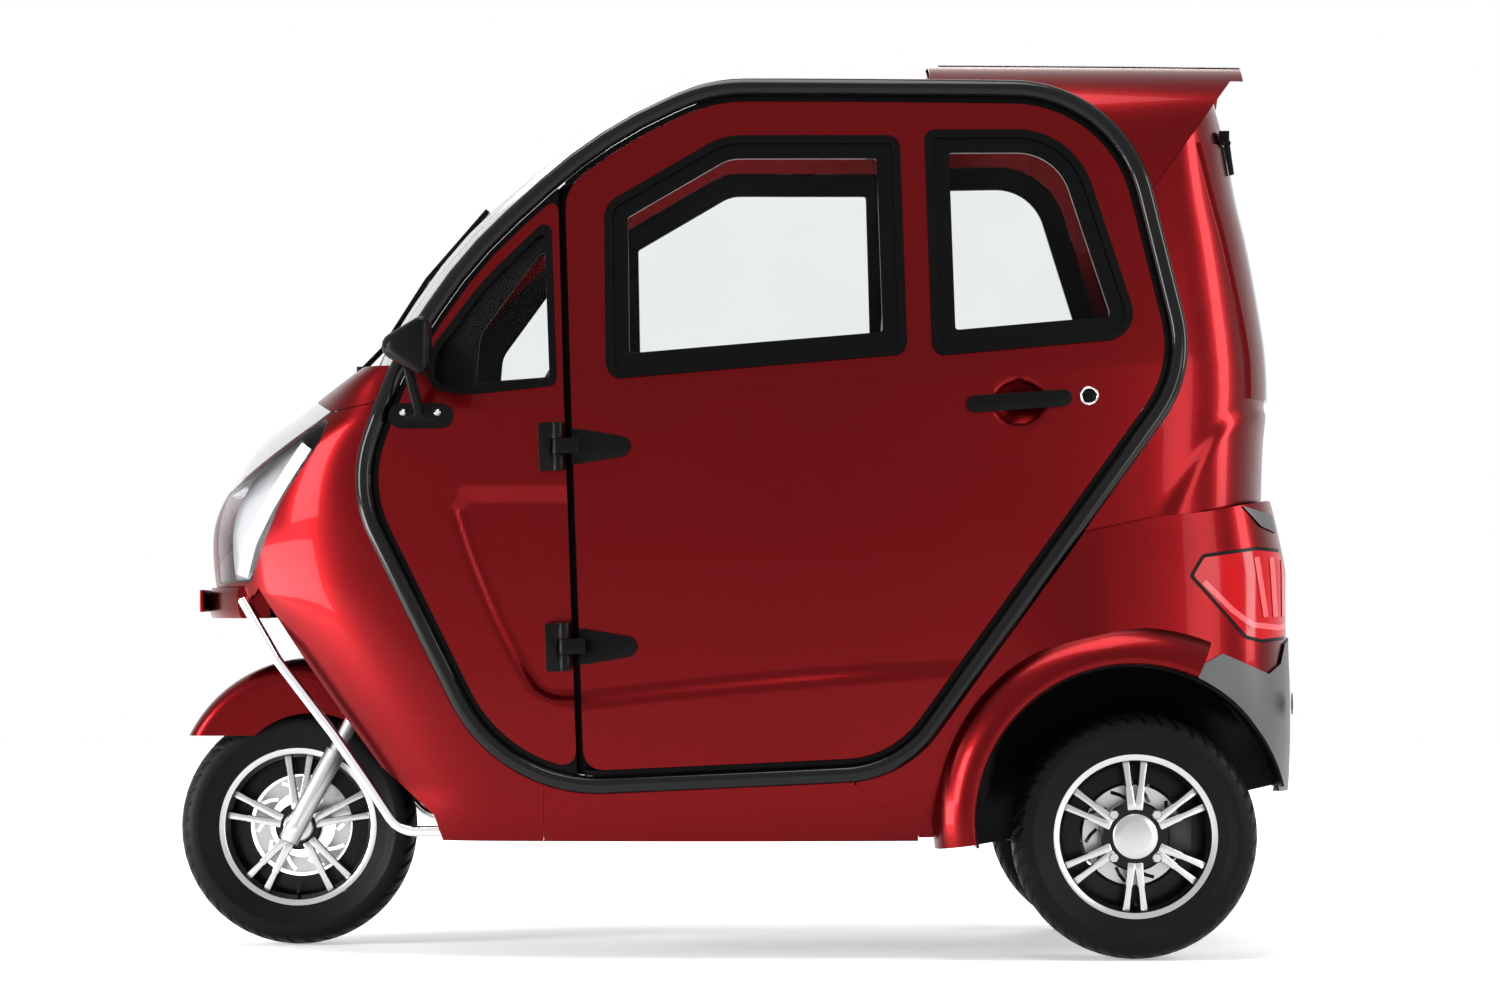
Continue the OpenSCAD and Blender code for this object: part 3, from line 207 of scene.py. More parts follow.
GREY = Finish("bumper_grey", "grey_plastic", (0.050, 0.051, 0.055), 0.45, grain=Grain.MOULDED)
BLACK = Finish("satin_black_plastic", "black_plastic", (0.0025, 0.0025, 0.0025), 0.32, grain=Grain.MOULDED,
               ior=1.16)
COVER = Finish("seat_leatherette", "seat_cover", (0.020, 0.020, 0.021), 0.5, grain=Grain.LEATHER)
MACHINED = Finish("rim_machined", "alloy", (0.46, 0.46, 0.47), 0.26, 1.0, grain=Grain.BRUSHED)
RIM_BLACK = Finish("rim_black", "alloy", (0.005, 0.005, 0.005), 0.25, ior=1.25)
FORK_SILVER = Finish("fork_silver", "alloy", (0.55, 0.55, 0.56), 0.3, 0.9, grain=Grain.BRUSHED)
STEEL = Finish("disc_steel", "alloy", (0.45, 0.45, 0.45), 0.28, 1.0, grain=Grain.BRUSHED)
TYRE = Finish("tyre_rubber", "tyre", (0.005, 0.005, 0.005), 0.45, grain=Grain.MOULDED, ior=1.16)


def smooth(t: float) -> float:
    """Returns t eased between 0 and 1."""
    u = max(0.0, min(1.0, t))
    return u * u * (3 - 2 * u)


def curve_at(rows: Sequence[tuple[float, float]], key: float) -> float:
    """Reads a smooth line through the rows of a table.

    Args:
        rows: Pairs of key and value, with rising keys.
        key: Where to read.

    Returns:
        The value on a line with no corners.
    """
    if key <= rows[0][0]:
        return rows[0][1]
    if key >= rows[-1][0]:
        return rows[-1][1]
    i = max(n for n in range(len(rows) - 1) if rows[n][0] <= key)
    (k0, v0), (k1, v1) = rows[i], rows[i + 1]
    slopes = []
    for n in (i, i + 1):
        a, b = rows[max(n - 1, 0)], rows[min(n + 1, len(rows) - 1)]
        slopes.append((b[1] - a[1]) / (b[0] - a[0]))
    h = k1 - k0
    t = (key - k0) / h
    return ((2 * t**3 - 3 * t**2 + 1) * v0 + (t**3 - 2 * t**2 + t) * h * slopes[0]
            + (3 * t**2 - 2 * t**3) * v1 + (t**3 - t**2) * h * slopes[1])


def corner_arc(a: Vector, b: Vector, c: Vector, radius: float) -> Outline:
    """Rounds the corner b between a and c.

    Args:
        a: Point before the corner.
        b: The corner.
        c: Point after the corner.
        radius: Radius of the arc.

    Returns:
        The arc's points.
    """
    u, v = (a - b).normalized(), (c - b).normalized()
    half = math.acos(max(-1.0, min(1.0, u.dot(v)))) / 2
    mid = b + (u + v).normalized() * radius / math.sin(half)
    e0, e1 = b + u * radius / math.tan(half) - mid, b + v * radius / math.tan(half) - mid
    sweep = math.pi - 2 * half
    n = max(2, math.ceil(sweep / ARC_STEP))
    return [mid + (e0 * math.sin(sweep * (1 - i / n)) + e1 * math.sin(sweep * i / n)) / math.sin(sweep)
            for i in range(n + 1)]


def rounded(corners: Sequence[tuple[float, float, float]], grow: float = 0.0) -> Outline:
    """Makes a closed outline with rounded corners.

    Args:
        corners: Rows of X, Z and radius in millimetres.
        grow: Distance in metres by which the outline moves outward.

    Returns:
        The outline's points in metres.
    """
    n = len(corners)
    at = [Vector((c[0], c[1])) / 1000 for c in corners]
    moved = []
    for i in range(n):
        u, v = (at[i - 1] - at[i]).normalized(), (at[(i + 1) % n] - at[i]).normalized()
        half = math.acos(u.dot(v)) / 2
        moved.append(at[i] - (u + v).normalized() * grow / math.sin(half))
    line: Outline = []
    for i in range(n):
        radius = max(corners[i][2] / 1000 + grow, 0.006)
        line += corner_arc(moved[i - 1], moved[i], moved[(i + 1) % n], radius)
    return line


def points(rows: Sequence[tuple[float, float]]) -> Outline:
    """Returns rows of X and Z in millimetres as points in metres."""
    return [Vector((x, z)) / 1000 for x, z in rows]


def column(rows: Rows, n: int) -> list[tuple[float, float]]:
    """Returns the first and the nth column of a table in millimetres, in metres."""
    return [(r[0] / 1000, r[n] / 1000) for r in rows]


def strip(line: Outline, width: float) -> Outline:
    """Makes the outline of a strip along an open line.

    Args:
        line: Middle line of the strip.
        width: Its width.

    Returns:
        The closed outline.
    """
    sides: list[Outline] = [[], []]
    for i, here in enumerate(line):
        along = (line[min(i + 1, len(line) - 1)] - line[max(i - 1, 0)]).normalized()
        across = Vector((-along.y, along.x)) * width / 2
        sides[0].append(here + across)
        sides[1].append(here - across)
    return sides[0] + sides[1][::-1]


def clipped(outline: Outline, a: Vector, b: Vector) -> Outline:
    """Cuts an outline along a line.

    Args:
        outline: Closed outline.
        a: Point of the line.
        b: Second point; what lies to the left of a to b stays.

    Returns:
        The part that stays.
    """
    def left(p: Vector) -> float:
        """Returns how far p lies to the left of the line."""
        return (b - a).cross(p - a) / (b - a).length

    kept: Outline = []
    for i, p in enumerate(outline):
        q = outline[(i + 1) % len(outline)]
        dp, dq = left(p), left(q)
        if dp >= 0:
            kept.append(p)
        if (dp >= 0) != (dq >= 0):
            kept.append(p.lerp(q, dp / (dp - dq)))
    return kept


def softened(outline: Outline, reach: float, least: float = 0.5) -> Outline:
    """Rounds the sharp corners of an outline.

    Args:
        outline: Closed outline.
        reach: How far along both sides the rounding starts.
        least: Smallest turn of a corner that is rounded, in radians.

    Returns:
        The outline with its sharp corners rounded.
    """
    n = len(outline)
    turns = []
    for i in range(n):
        u, v = outline[i] - outline[i - 1], outline[(i + 1) % n] - outline[i]
        turns.append(u.length > CLOSE and v.length > CLOSE and u.angle(v) > least)

    def walk(start: int, step: int) -> tuple[Vector, set[int]]:
        """Goes along the outline by the reach.

        Args:
            start: Index of the corner to leave from.
            step: 1 to go ahead, -1 to go back.

        Returns:
            The place that is reached, and the points that were passed.
        """
        left, here, i, passed = reach, outline[start], start, set()
        while True:
            ahead = outline[(i + step) % n]
            span = (ahead - here).length
            if span >= left:
                return here.lerp(ahead, left / span), passed
            left -= span
            i = (i + step) % n
            here = ahead
            passed.add(i)

    skip: set[int] = set()
    arcs: dict[int, Outline] = {}
    for i in range(n):
        if turns[i]:
            p, before = walk(i, -1)
            q, after = walk(i, 1)
            skip |= before | after
            corner = outline[i]
            arcs[i] = [p * (1 - t) ** 2 + corner * 2 * t * (1 - t) + q * t * t
                       for t in (k / 8 for k in range(9))]
    line: Outline = []
    for i in range(n):
        if i in arcs:
            line += arcs[i]
        elif i not in skip:
            line.append(outline[i])
    return line


def from_bmesh(name: str, shape: bmesh.types.BMesh, recalc: bool = True) -> bpy.types.Object:
    """Turns a bmesh into an object of the scene with smooth faces.

    Args:
        name: Name of the object.
        shape: The mesh; it is freed.
        recalc: Whether the faces are turned outward.

    Returns:
        The new object.
    """
    if recalc:
        bmesh.ops.recalc_face_normals(shape, faces=shape.faces[:])
    data = bpy.data.meshes.new(name)
    shape.to_mesh(data)
    shape.free()
    made = bpy.data.objects.new(name, data)
    bpy.context.scene.collection.objects.link(made)
    soften_shading(made)
    return made


def soften_shading(piece: bpy.types.Object) -> None:
    """Shades a piece smooth up to its sharp edges."""
    piece.data.shade_smooth()
    piece.data.set_sharp_from_angle(angle=SMOOTH_ANGLE)


def skin(name: str, across: int, up: int, place: PointMap) -> bpy.types.Object:
    """Makes a closed skin from a grid.

    Args:
        name: Name of the object.
        across: Number of cells across.
        up: Number of cells up.
        place: Gives the point for a share across, a share up and a share of the depth.

    Returns:
        The skin.
    """
    shape = bmesh.new()
    bmesh.ops.create_grid(shape, x_segments=across, y_segments=up, size=0.5)
    grown = bmesh.ops.extrude_face_region(shape, geom=shape.faces[:], use_keep_orig=True)
    moved = [g for g in grown["geom"] if isinstance(g, bmesh.types.BMVert)]
    bmesh.ops.translate(shape, verts=moved, vec=(0, 0, 1))
    for v in shape.verts:
        v.co = place(v.co.x + 0.5, v.co.y + 0.5, v.co.z)
    return from_bmesh(name, shape)


def tube(name: str, line: Sequence[Vector], radius: Callable[[float], float], ref: Vector, sides: int = 20,
         closed: bool = False) -> bpy.types.Object:
    """Sweeps a round section along a line.

    Args:
        name: Name of the object.
        line: Points of the middle line.
        radius: Gives the radius at a share of the length.
        ref: Direction that the line never runs along.
        sides: Sides of the section.
        closed: Whether the line closes on itself.

    Returns:
        The tube, with closed ends where the line is open.
    """
    n = len(line)
    count = n if closed else n - 1
    shape = bmesh.new()
    bmesh.ops.create_grid(shape, x_segments=count, y_segments=sides, size=0.5)
    for v in shape.verts:
        i = round((v.co.x + 0.5) * count)
        turn = (v.co.y + 0.5) * math.tau
        if closed:
            along = (line[(i + 1) % n] - line[(i - 1) % n]).normalized()
        else:
            along = (line[min(i + 1, n - 1)] - line[max(i - 1, 0)]).normalized()
        u = along.cross(ref).normalized()
        w = u.cross(along)
        v.co = line[i % n] + (u * math.cos(turn) + w * math.sin(turn)) * radius(i / count)
    bmesh.ops.remove_doubles(shape, verts=shape.verts[:], dist=CLOSE)
    if not closed:
        bmesh.ops.holes_fill(shape, edges=[e for e in shape.edges if e.is_boundary], sides=0)
    return from_bmesh(name, shape)


def prism(outline: Outline, y0: float = -OVER, y1: float = OVER) -> bpy.types.Object:
    """Makes a prism along Y from an outline in side view.

    Args:
        outline: Closed outline of X and Z.
        y0: Left end.
        y1: Right end.

    Returns:
        The prism.
    """
    shape = bmesh.new()
    face = shape.faces.new([shape.verts.new((p.x, y0, p.y)) for p in outline])
    grown = bmesh.ops.extrude_face_region(shape, geom=[face], use_keep_orig=True)
    moved = [g for g in grown["geom"] if isinstance(g, bmesh.types.BMVert)]
    bmesh.ops.translate(shape, verts=moved, vec=(0, y1 - y0, 0))
    return from_bmesh("cutter", shape)


def block(low: Sequence[float], high: Sequence[float]) -> bpy.types.Object:
    """Makes a cutter block.

    Args:
        low: Its lowest corner.
        high: Its highest corner.

    Returns:
        The block.
    """
    shape = bmesh.new()
    bmesh.ops.create_cube(shape, size=1.0)
    bmesh.ops.scale(shape, verts=shape.verts[:], vec=Vector(high) - Vector(low))
    bmesh.ops.translate(shape, verts=shape.verts[:], vec=(Vector(high) + Vector(low)) / 2)
    return from_bmesh("cutter", shape)


def keep(outline: Outline, y0: float = -OVER, y1: float = OVER) -> CutStep:
    """Returns the cut that keeps what lies in an outline in side view."""
    return Cut.KEEP, prism(outline, y0, y1)


def take(outline: Outline, y0: float = -OVER, y1: float = OVER) -> CutStep:
    """Returns the cut that takes away what lies in an outline in side view."""
    return Cut.TAKE, prism(outline, y0, y1)


def carved(piece: bpy.types.Object, *cuts: CutStep) -> bpy.types.Object:
    """Cuts a piece with cutters, which are used up.

    Args:
        piece: The piece.
        cuts: Pairs of a way to cut and the cutter.

    Returns:
        The piece.
    """
    for way, cutter in cuts:
        step = piece.modifiers.new("cut", "BOOLEAN")
        step.operation = way.value
        step.solver = "EXACT"
        step.object = cutter
    bpy.context.view_layer.update()
    ready = piece.evaluated_get(bpy.context.evaluated_depsgraph_get())
    data = bpy.data.meshes.new_from_object(ready)
    piece.modifiers.clear()
    old = piece.data
    piece.data = data
    bpy.data.meshes.remove(old)
    for _, cutter in cuts:
        used = cutter.data
        bpy.data.objects.remove(cutter)
        bpy.data.meshes.remove(used)
    soften_shading(piece)
    return piece


def joined(name: str, parts: Sequence[bpy.types.Object]) -> bpy.types.Object:
    """Joins objects into one, with their places in its mesh.

    Args:
        name: Name of the result.
        parts: Objects, which are used up.

    Returns:
        The joined object.
    """
    shape = bmesh.new()
    for part in parts:
        part.data.transform(part.matrix_world)
        shape.from_mesh(part.data)
        used = part.data
        bpy.data.objects.remove(part)
        bpy.data.meshes.remove(used)
    return from_bmesh(name, shape, False)


def mirrored(piece: bpy.types.Object, name: str, add: bool = False) -> bpy.types.Object:
    """Mirrors a piece to the other side.

    Args:
        piece: The piece of the left side.
        name: Name of the result.
        add: Whether the result holds both sides.

    Returns:
        The mirrored copy, or the piece with its copy added.
    """
    shape = bmesh.new()
    shape.from_mesh(piece.data)
    bmesh.ops.scale(shape, verts=shape.verts[:], vec=(1, -1, 1))
    bmesh.ops.reverse_faces(shape, faces=shape.faces[:])
    if add:
        shape.from_mesh(piece.data)
    made = from_bmesh(name, shape, False)
    for material in piece.data.materials:
        made.data.materials.append(material)
    if add:
        used = piece.data
        bpy.data.objects.remove(piece)
        bpy.data.meshes.remove(used)
    return made


def dress(piece: bpy.types.Object, finish: Finish, body: Body, *nodes: str) -> bpy.types.Object:
    """Gives a piece its finish and puts it on its body.

    Args:
        piece: The piece.
        finish: Its finish.
        body: Body that it moves with.
        nodes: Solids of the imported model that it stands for.

    Returns:
        The piece.
    """
    if not piece.data.materials:
        piece.data.materials.append(finish.material())
    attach(piece, body.value)
    if nodes:
        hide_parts(*nodes)
    LOG.info("%s on %s: %d faces", piece.name, body.value, len(piece.data.polygons))
    return piece


def dress_pair(left: bpy.types.Object, name: str, finish: Finish, *nodes: str) -> bpy.types.Object:
    """Joins a left piece with its mirror image and dresses the two as one piece of the shell.

    Args:
        left: The piece of the left side.
        name: Name of the pair.
        finish: Its finish.
        nodes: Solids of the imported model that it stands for.

    Returns:
        The pair.
    """
    return dress(mirrored(left, name, True), finish, Body.SHELL, *nodes)


def break_edges(shape: bmesh.types.BMesh, edges: list[bmesh.types.BMEdge], width: float,
                segments: int) -> None:
    """Rounds edges of a mesh.

    Args:
        shape: The mesh.
        edges: Its edges to round.
        width: Width of the rounding.
        segments: Number of steps in it.
    """
    bmesh.ops.bevel(shape, geom=edges, offset=width, offset_type="OFFSET", segments=segments, profile=0.5,
                    affect="EDGES", material=-1, clamp_overlap=True)


@dataclass(frozen=True)
class SideSurface:
    """Double-curved side of the body: belt crease, lean above it, tuck below it and bow in plan."""

    half_w: float = 0.500
    belt_h: float = 1.083
    belt_rise: float = 0.069
    tumblehome: float = 0.14
    bow_r: float = 4.25
    bow_x: float = 0.150
    lean_bend: float = 0.02
    tuck: float = 0.05
    curl: float = 2.7
    curl_h: float = 0.75
    margin: float = 0.003

    def y(self, x: float, z: float) -> float:
        """Finds the distance of the surface from the middle plane.

        Args:
            x: Station.
            z: Height.

        Returns:
            The distance.
        """
        h = z - self.belt_h - self.belt_rise * x
        if h > 0:
            lean = -self.tumblehome * h - self.lean_bend * h * h
        else:
            lean = -self.tuck * h * h - (self.curl * (h + self.curl_h) ** 2 if h < -self.curl_h else 0.0)
        return self.half_w + lean - (x - self.bow_x) ** 2 / (2 * self.bow_r)

    def panel(self, name: str, area: Outline, holes: Sequence[Outline], out: float, deep: float,
              cell: float = 0.012,
              relief: Optional[Callable[[float, float], float]] = None) -> bpy.types.Object:
        """Makes a panel that lies on the left side.

        Args:
            name: Name of the panel.
            area: Its outline in side view.
            holes: Openings in it.
            out: How far its face stands out of the surface.
            deep: How far its back lies behind the surface.
            cell: Size of its grid.
            relief: Gives the extra height of the face at X and Z.

        Returns:
            The panel.
        """
        x0, x1 = min(p.x for p in area) - self.margin, max(p.x for p in area) + self.margin
        z0, z1 = min(p.y for p in area) - self.margin, max(p.y for p in area) + self.margin
        flat = skin(name, max(2, round((x1 - x0) / cell)), max(2, round((z1 - z0) / cell)),
                    lambda u, v, w: Vector((x0 + (x1 - x0) * u, w, z0 + (z1 - z0) * v)))
        carved(flat, keep(area, -3, 3), *[take(hole, -3, 3) for hole in holes])
        for v in flat.data.vertices:
            x, w, z = v.co
            rise = out + (relief(x, z) if relief else 0.0)
            v.co.y = -self.y(x, z) - rise * (1 - w) + deep * w
        shape = bmesh.new()
        shape.from_mesh(flat.data)
        bmesh.ops.recalc_face_normals(shape, faces=shape.faces[:])
        shape.to_mesh(flat.data)
        shape.free()
        soften_shading(flat)
        return flat


SIDE = SideSurface()


@dataclass(frozen=True)
class SideView:
    """Outlines of the left side, in millimetres of X and Z with corner radii."""

    hoop: tuple = ((-435, 325, 300), (324, 361, 210), (879, 1128, 234), (750, 1671, 260), (-36, 1675, 310),
                   (-244, 1584, 900), (-508, 1345, 900), (-638, 1144, 700), (-725, 905, 240))
    door_edge: tuple = ((-318, 1479), (-281, 412))
    front_window: tuple = ((-238, 1108, 30), (338, 1156, 25), (325, 1580, 25), (-15, 1580, 120),
                           (-243, 1447, 45))
    rear_window: tuple = ((385, 1152, 25), (790, 1190, 55), (660, 1594, 150), (372, 1591, 20))
    quarter_window: tuple = ((-331, 1097, 18), (-345, 1428, 15), (-478, 1300, 500), (-578, 1166, 90),
                             (-586, 1088, 40), (-496, 1080, 200))
    hoop_r: float = 0.017
    door_gap: float = 0.012
    quarter_gap: float = 0.014
    frame_w: float = 0.046
    quarter_rubber: float = 0.014
    corner: float = 0.04
    edge_run: float = 0.6

    def hoop_line(self, grow: float = 0.0) -> Outline:
        """Returns the closed line of the hoop, moved outward by grow."""
        return rounded(self.hoop, grow)

    def edge(self, shift: float) -> tuple[Vector, Vector]:
        """Finds the line of the door's front edge.

        Args:
            shift: How far it is moved along X.

        Returns:
            Two points, far up and far down that line.
        """
        top, foot = points(self.door_edge)
        slope = (foot - top) * self.edge_run
        move = Vector((shift, 0))
        return top - slope + move, foot + slope + move

    def door(self) -> Outline:
        """Makes the outline of a door.

        Returns:
            The closed outline.
        """
        top, foot = self.edge(0.0)
        return softened(clipped(self.hoop_line(-self.hoop_r - self.door_gap), top, foot), self.corner)

    def quarter(self) -> Outline:
        """Makes the outline of a front quarter.

        Returns:
            The closed outline.
        """
        top, foot = self.edge(-self.quarter_gap)
        return softened(clipped(self.hoop_line(-self.hoop_r - self.door_gap), foot, top), self.corner)


VIEW = SideView()


def turned(name: str, hub: Vector, section: Sequence[tuple[float, float]], sides: int = 96,
           start: float = 0.0, sweep: float = math.tau) -> bpy.types.Object:
    """Spins a closed section about an axis along Y.

    Args:
        name: Name of the object.
        hub: Point of the axis.
        section: Rows of radius and place along Y from the hub, in metres.
        sides: Steps of the spin.
        start: Angle of the first section from +X towards +Z.
        sweep: Angle of the spin.

    Returns:
        The turned piece.
    """
    shape = bmesh.new()
    ring = [shape.verts.new((r * math.cos(start), y, r * math.sin(start))) for r, y in section]
    edges = [shape.edges.new((ring[i], ring[(i + 1) % len(ring)])) for i in range(len(ring))]
    full = sweep > math.tau - CLOSE
    ends = None if full else shape.faces.new(ring)
    bmesh.ops.spin(shape, geom=ring + edges + ([ends] if ends else []), cent=(0, 0, 0), axis=(0, -1, 0),
                   angle=sweep, steps=sides, use_merge=full, use_duplicate=False)
    bmesh.ops.remove_doubles(shape, verts=shape.verts[:], dist=CLOSE)
    if ends:
        bmesh.ops.holes_fill(shape, edges=[e for e in shape.edges if e.is_boundary], sides=0)
    bmesh.ops.translate(shape, verts=shape.verts[:], vec=hub)
    return from_bmesh(name, shape)


def ring_outline(x: float, z: float, radius: float, count: int = 96) -> Outline:
    """Makes a circle in side view.

    Args:
        x: Station of its centre.
        z: Height of its centre.
        radius: Its radius.
        count: Number of its points.

    Returns:
        The closed outline.
    """
    return [Vector((x + radius * math.cos(math.tau * i / count),
                    z + radius * math.sin(math.tau * i / count)))
            for i in range(count)]


def refined(node: str, finish: Finish, body: Body, edge: float = 0.0012) -> bpy.types.Object:
    """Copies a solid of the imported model, merges it and breaks its edges.

    Args:
        node: Name of the solid.
        finish: Finish of the copy.
        body: Body that it moves with.
        edge: Width of the broken edges.

    Returns:
        The dressed copy.
    """
    shape = bmesh.new()
    shape.from_mesh(bpy.data.objects[node].data)
    bmesh.ops.remove_doubles(shape, verts=shape.verts[:], dist=2e-5)
    bmesh.ops.dissolve_limit(shape, angle_limit=math.radians(0.6), verts=shape.verts[:],
                             edges=shape.edges[:])
    if edge:
        sharp = [e for e in shape.edges if e.is_manifold and e.calc_face_angle(0.0) > math.radians(38)]
        break_edges(shape, sharp, edge, 2)
    copy = from_bmesh(node + "_piece", shape, False)
    return dress(copy, finish, body, node)


@dataclass
class Hoops:
    """Black tube hoops round the two sides."""

    step: float = 0.008
    sides: int = 20

    def build(self) -> None:
        """Builds both hoops."""
        flat = VIEW.hoop_line()
        line: list[Vector] = []
        for i, p in enumerate(flat):
            q = flat[(i + 1) % len(flat)]
            n = max(1, math.ceil((q - p).length / self.step))
            for k in range(n):
                at = p.lerp(q, k / n)
                line.append(Vector((at.x, -SIDE.y(at.x, at.y), at.y)))
        left = tube("side_hoop", line, lambda t: VIEW.hoop_r, ACROSS, self.sides, True)
        dress_pair(left, "side_hoop_pair", HOOP_BLACK, "side_hoops")


@dataclass
class Doors:
    """Doors with their windows, frames and fittings."""

    thick: float = 0.034
    glass_t: float = 0.005
    glass_in: float = 0.004
    cell: float = 0.007
    glass_cell: float = 0.03
    bead_w: float = 0.016
    cup: tuple[float, float, float] = (0.551, 1.063, 0.050)
    cup_flat: float = 1.08
    cup_deep: float = 0.020
    ledge: tuple = ((-0.300, 0.499), (0.640, 0.571))
    ledge_bow: float = 0.010
    ledge_out: float = 0.015
    ledge_fade: tuple[float, float] = (0.62, 0.5)
    ledge_edge: tuple[float, float] = (0.010, 0.030)
    lock: tuple[float, float] = (0.685, 1.077)
    lock_ring: tuple = ((0.0143, -0.0008), (0.0143, -0.0050), (0.0155, -0.0060), (0.0168, -0.0060),
                        (0.0180, -0.0045), (0.0180, -0.0008))
    fitting_edge: float = 0.0025
    seal_lap: float = 0.0015
    edge_seal: tuple[float, float] = (-0.030, 0.018)

    def relief(self, x: float, z: float) -> float:
        """Finds the height of the door's face: handle cup, lower ledge and hollow above it.

        Args:
            x: Station.
            z: Height.

        Returns:
            The height over the side surface.
        """
        away = math.hypot(x - self.cup[0], (z - self.cup[1]) * self.cup_flat) / self.cup[2]
        rise = -self.cup_deep * (1 - away * away) if away < 1 else 0.0
        (x0, z0), (x1, z1) = self.ledge
        run = (x - x0) / (x1 - x0)
        line = z0 + (z1 - z0) * run + self.ledge_bow * math.sin(math.pi * max(0.0, min(1.0, run)))
        fade = smooth((self.ledge_fade[0] - x) / self.ledge_fade[1])
        return rise + self.ledge_out * fade * smooth((line - z + self.ledge_edge[0]) / self.ledge_edge[1])

    def dress_both(self, left: bpy.types.Object, finish: Finish, node: Optional[str] = None) -> None:
        """Dresses a piece of the left door and its mirror image on the right door.

        Args:
            left: The piece of the left door.
            finish: Its finish.
            node: End of the names of the solids that the pieces stand for.
        """
        right = mirrored(left, left.name + "_right")
        for piece, body, side in ((left, Body.LEFT_DOOR, "door_left"),
                                  (right, Body.RIGHT_DOOR, "door_right")):
            dress(piece, finish, body, *([] if node is None else [side + node]))

    def build(self) -> None:
        """Builds both doors."""
        windows = (("front", VIEW.front_window), ("rear", VIEW.rear_window))
        panel = SIDE.panel("door_panel", VIEW.door(), [rounded(window) for _, window in windows], 0.0,
                           self.thick, self.cell, self.relief)
        frames, glass = [], []
        for label, window in windows:
            outer = rounded(window, -SEAM / 2)
            frames.append(SIDE.panel(label + "_frame", outer, [rounded(window, -VIEW.frame_w)], 0.001,
                                     0.016))
            frames.append(SIDE.panel(label + "_bead", outer, [rounded(window, -self.bead_w)], 0.005, 0.0))
            glass.append(SIDE.panel(label + "_glass", rounded(window, -VIEW.frame_w - SEAM / 2), [],
                                    -self.glass_in, self.glass_in + self.glass_t, self.glass_cell))
        frame, pane = joined("door_frames", frames), joined("door_glass", glass)
        for piece, finish, node in ((panel, PAINT, ""), (frame, RUBBER, "_frames"), (pane, GLASS, "_glass")):
            self.dress_both(piece, finish, node)
        self.build_seals()
        x, z = self.lock
        self.dress_both(turned("lock_ring", Vector((x, -SIDE.y(x, z), z)), self.lock_ring, 48), CHROME)
        refined("door_left_fittings", BLACK, Body.LEFT_DOOR, self.fitting_edge)
        refined("door_right_fittings", BLACK, Body.RIGHT_DOOR, self.fitting_edge)

    def build_seals(self) -> None:
        """Builds the black seals in the gaps round the door openings."""
        top, foot = VIEW.edge(0.0)
        outer = VIEW.hoop_line(-VIEW.hoop_r)
        inner = VIEW.hoop_line(-VIEW.hoop_r - VIEW.door_gap + self.seal_lap)
        ring = SIDE.panel("hoop_seal", clipped(outer, top, foot), [inner], -0.006, 0.030)
        front, rear = self.edge_seal
        shift = Vector((rear, 0))
        back = clipped(clipped(outer, *VIEW.edge(front)), foot + shift, top + shift)
        upright = SIDE.panel("edge_seal", back, [], -0.038, 0.044)
        dress_pair(joined("door_seal", [ring, upright]), "door_seal_pair", RUBBER)


@dataclass
class Quarters:
    """Fixed front quarters with their glass and rubber."""

    recess: tuple = ((490, -326), (510, -370), (540, -397), (674, -467), (854, -533), (878, -525))
    recess_z: tuple[float, float] = (0.48, 0.90)
    recess_deep: float = 0.012
    recess_run: float = 0.028
    fade: float = 0.03
    view: tuple = ((-488, 1104, 8), (-345, 1114, 8), (-351, 1372, 10), (-480, 1196, 60))
    thick: float = 0.014
    cell: float = 0.006

    def relief(self, x: float, z: float) -> float:
        """Finds the height of the quarter's face: the hollow behind its front rim.

        Args:
            x: Station.
            z: Height.

        Returns:
            The height over the side surface.
        """
        low, high = self.recess_z
        if z > high or z < low:
            return 0.0
        front = curve_at(column(self.recess, 1), z)
        top = smooth((high + 0.005 - z) / self.fade)
        foot = smooth((z - low - 0.004) / self.fade)
        return -self.recess_deep * smooth((x - front + 0.004) / self.recess_run) * top * foot

    def build(self) -> None:
        """Builds both quarters."""
        window = VIEW.quarter_window
        opening, edge = rounded(window, -SEAM / 2), VIEW.quarter_rubber
        panel = SIDE.panel("quarter_panel", VIEW.quarter(), [rounded(window)], 0.0, self.thick, self.cell,
                           self.relief)
        top, foot = VIEW.edge(-VIEW.quarter_gap)
        ring = clipped(VIEW.hoop_line(-VIEW.hoop_r - SEAM), foot, top)
        gasket = SIDE.panel("hoop_gasket", ring, [VIEW.quarter()], -0.004, self.thick)
        rubber = SIDE.panel("quarter_rubber", opening, [rounded(window, -edge)], 0.002, 0.012)
        pane = SIDE.panel("quarter_pane", rounded(window, -edge - SEAM / 2), [], -0.003, 0.008, 0.03)
        trim = SIDE.panel("quarter_trim", rounded(window, -SEAM), [rounded(self.view)], -0.012, 0.018, 0.02)
        dress_pair(trim, "quarter_trim_pair", BLACK)
        seals = joined("quarter_rubber_set", [gasket, rubber])
        dress_pair(panel, "front_quarter_pair", PAINT, "front_quarters")
        dress_pair(seals, "quarter_seal_pair", RUBBER, "quarter_seals")
        dress_pair(pane, "quarter_glass_pair", GLASS, "quarter_glass")


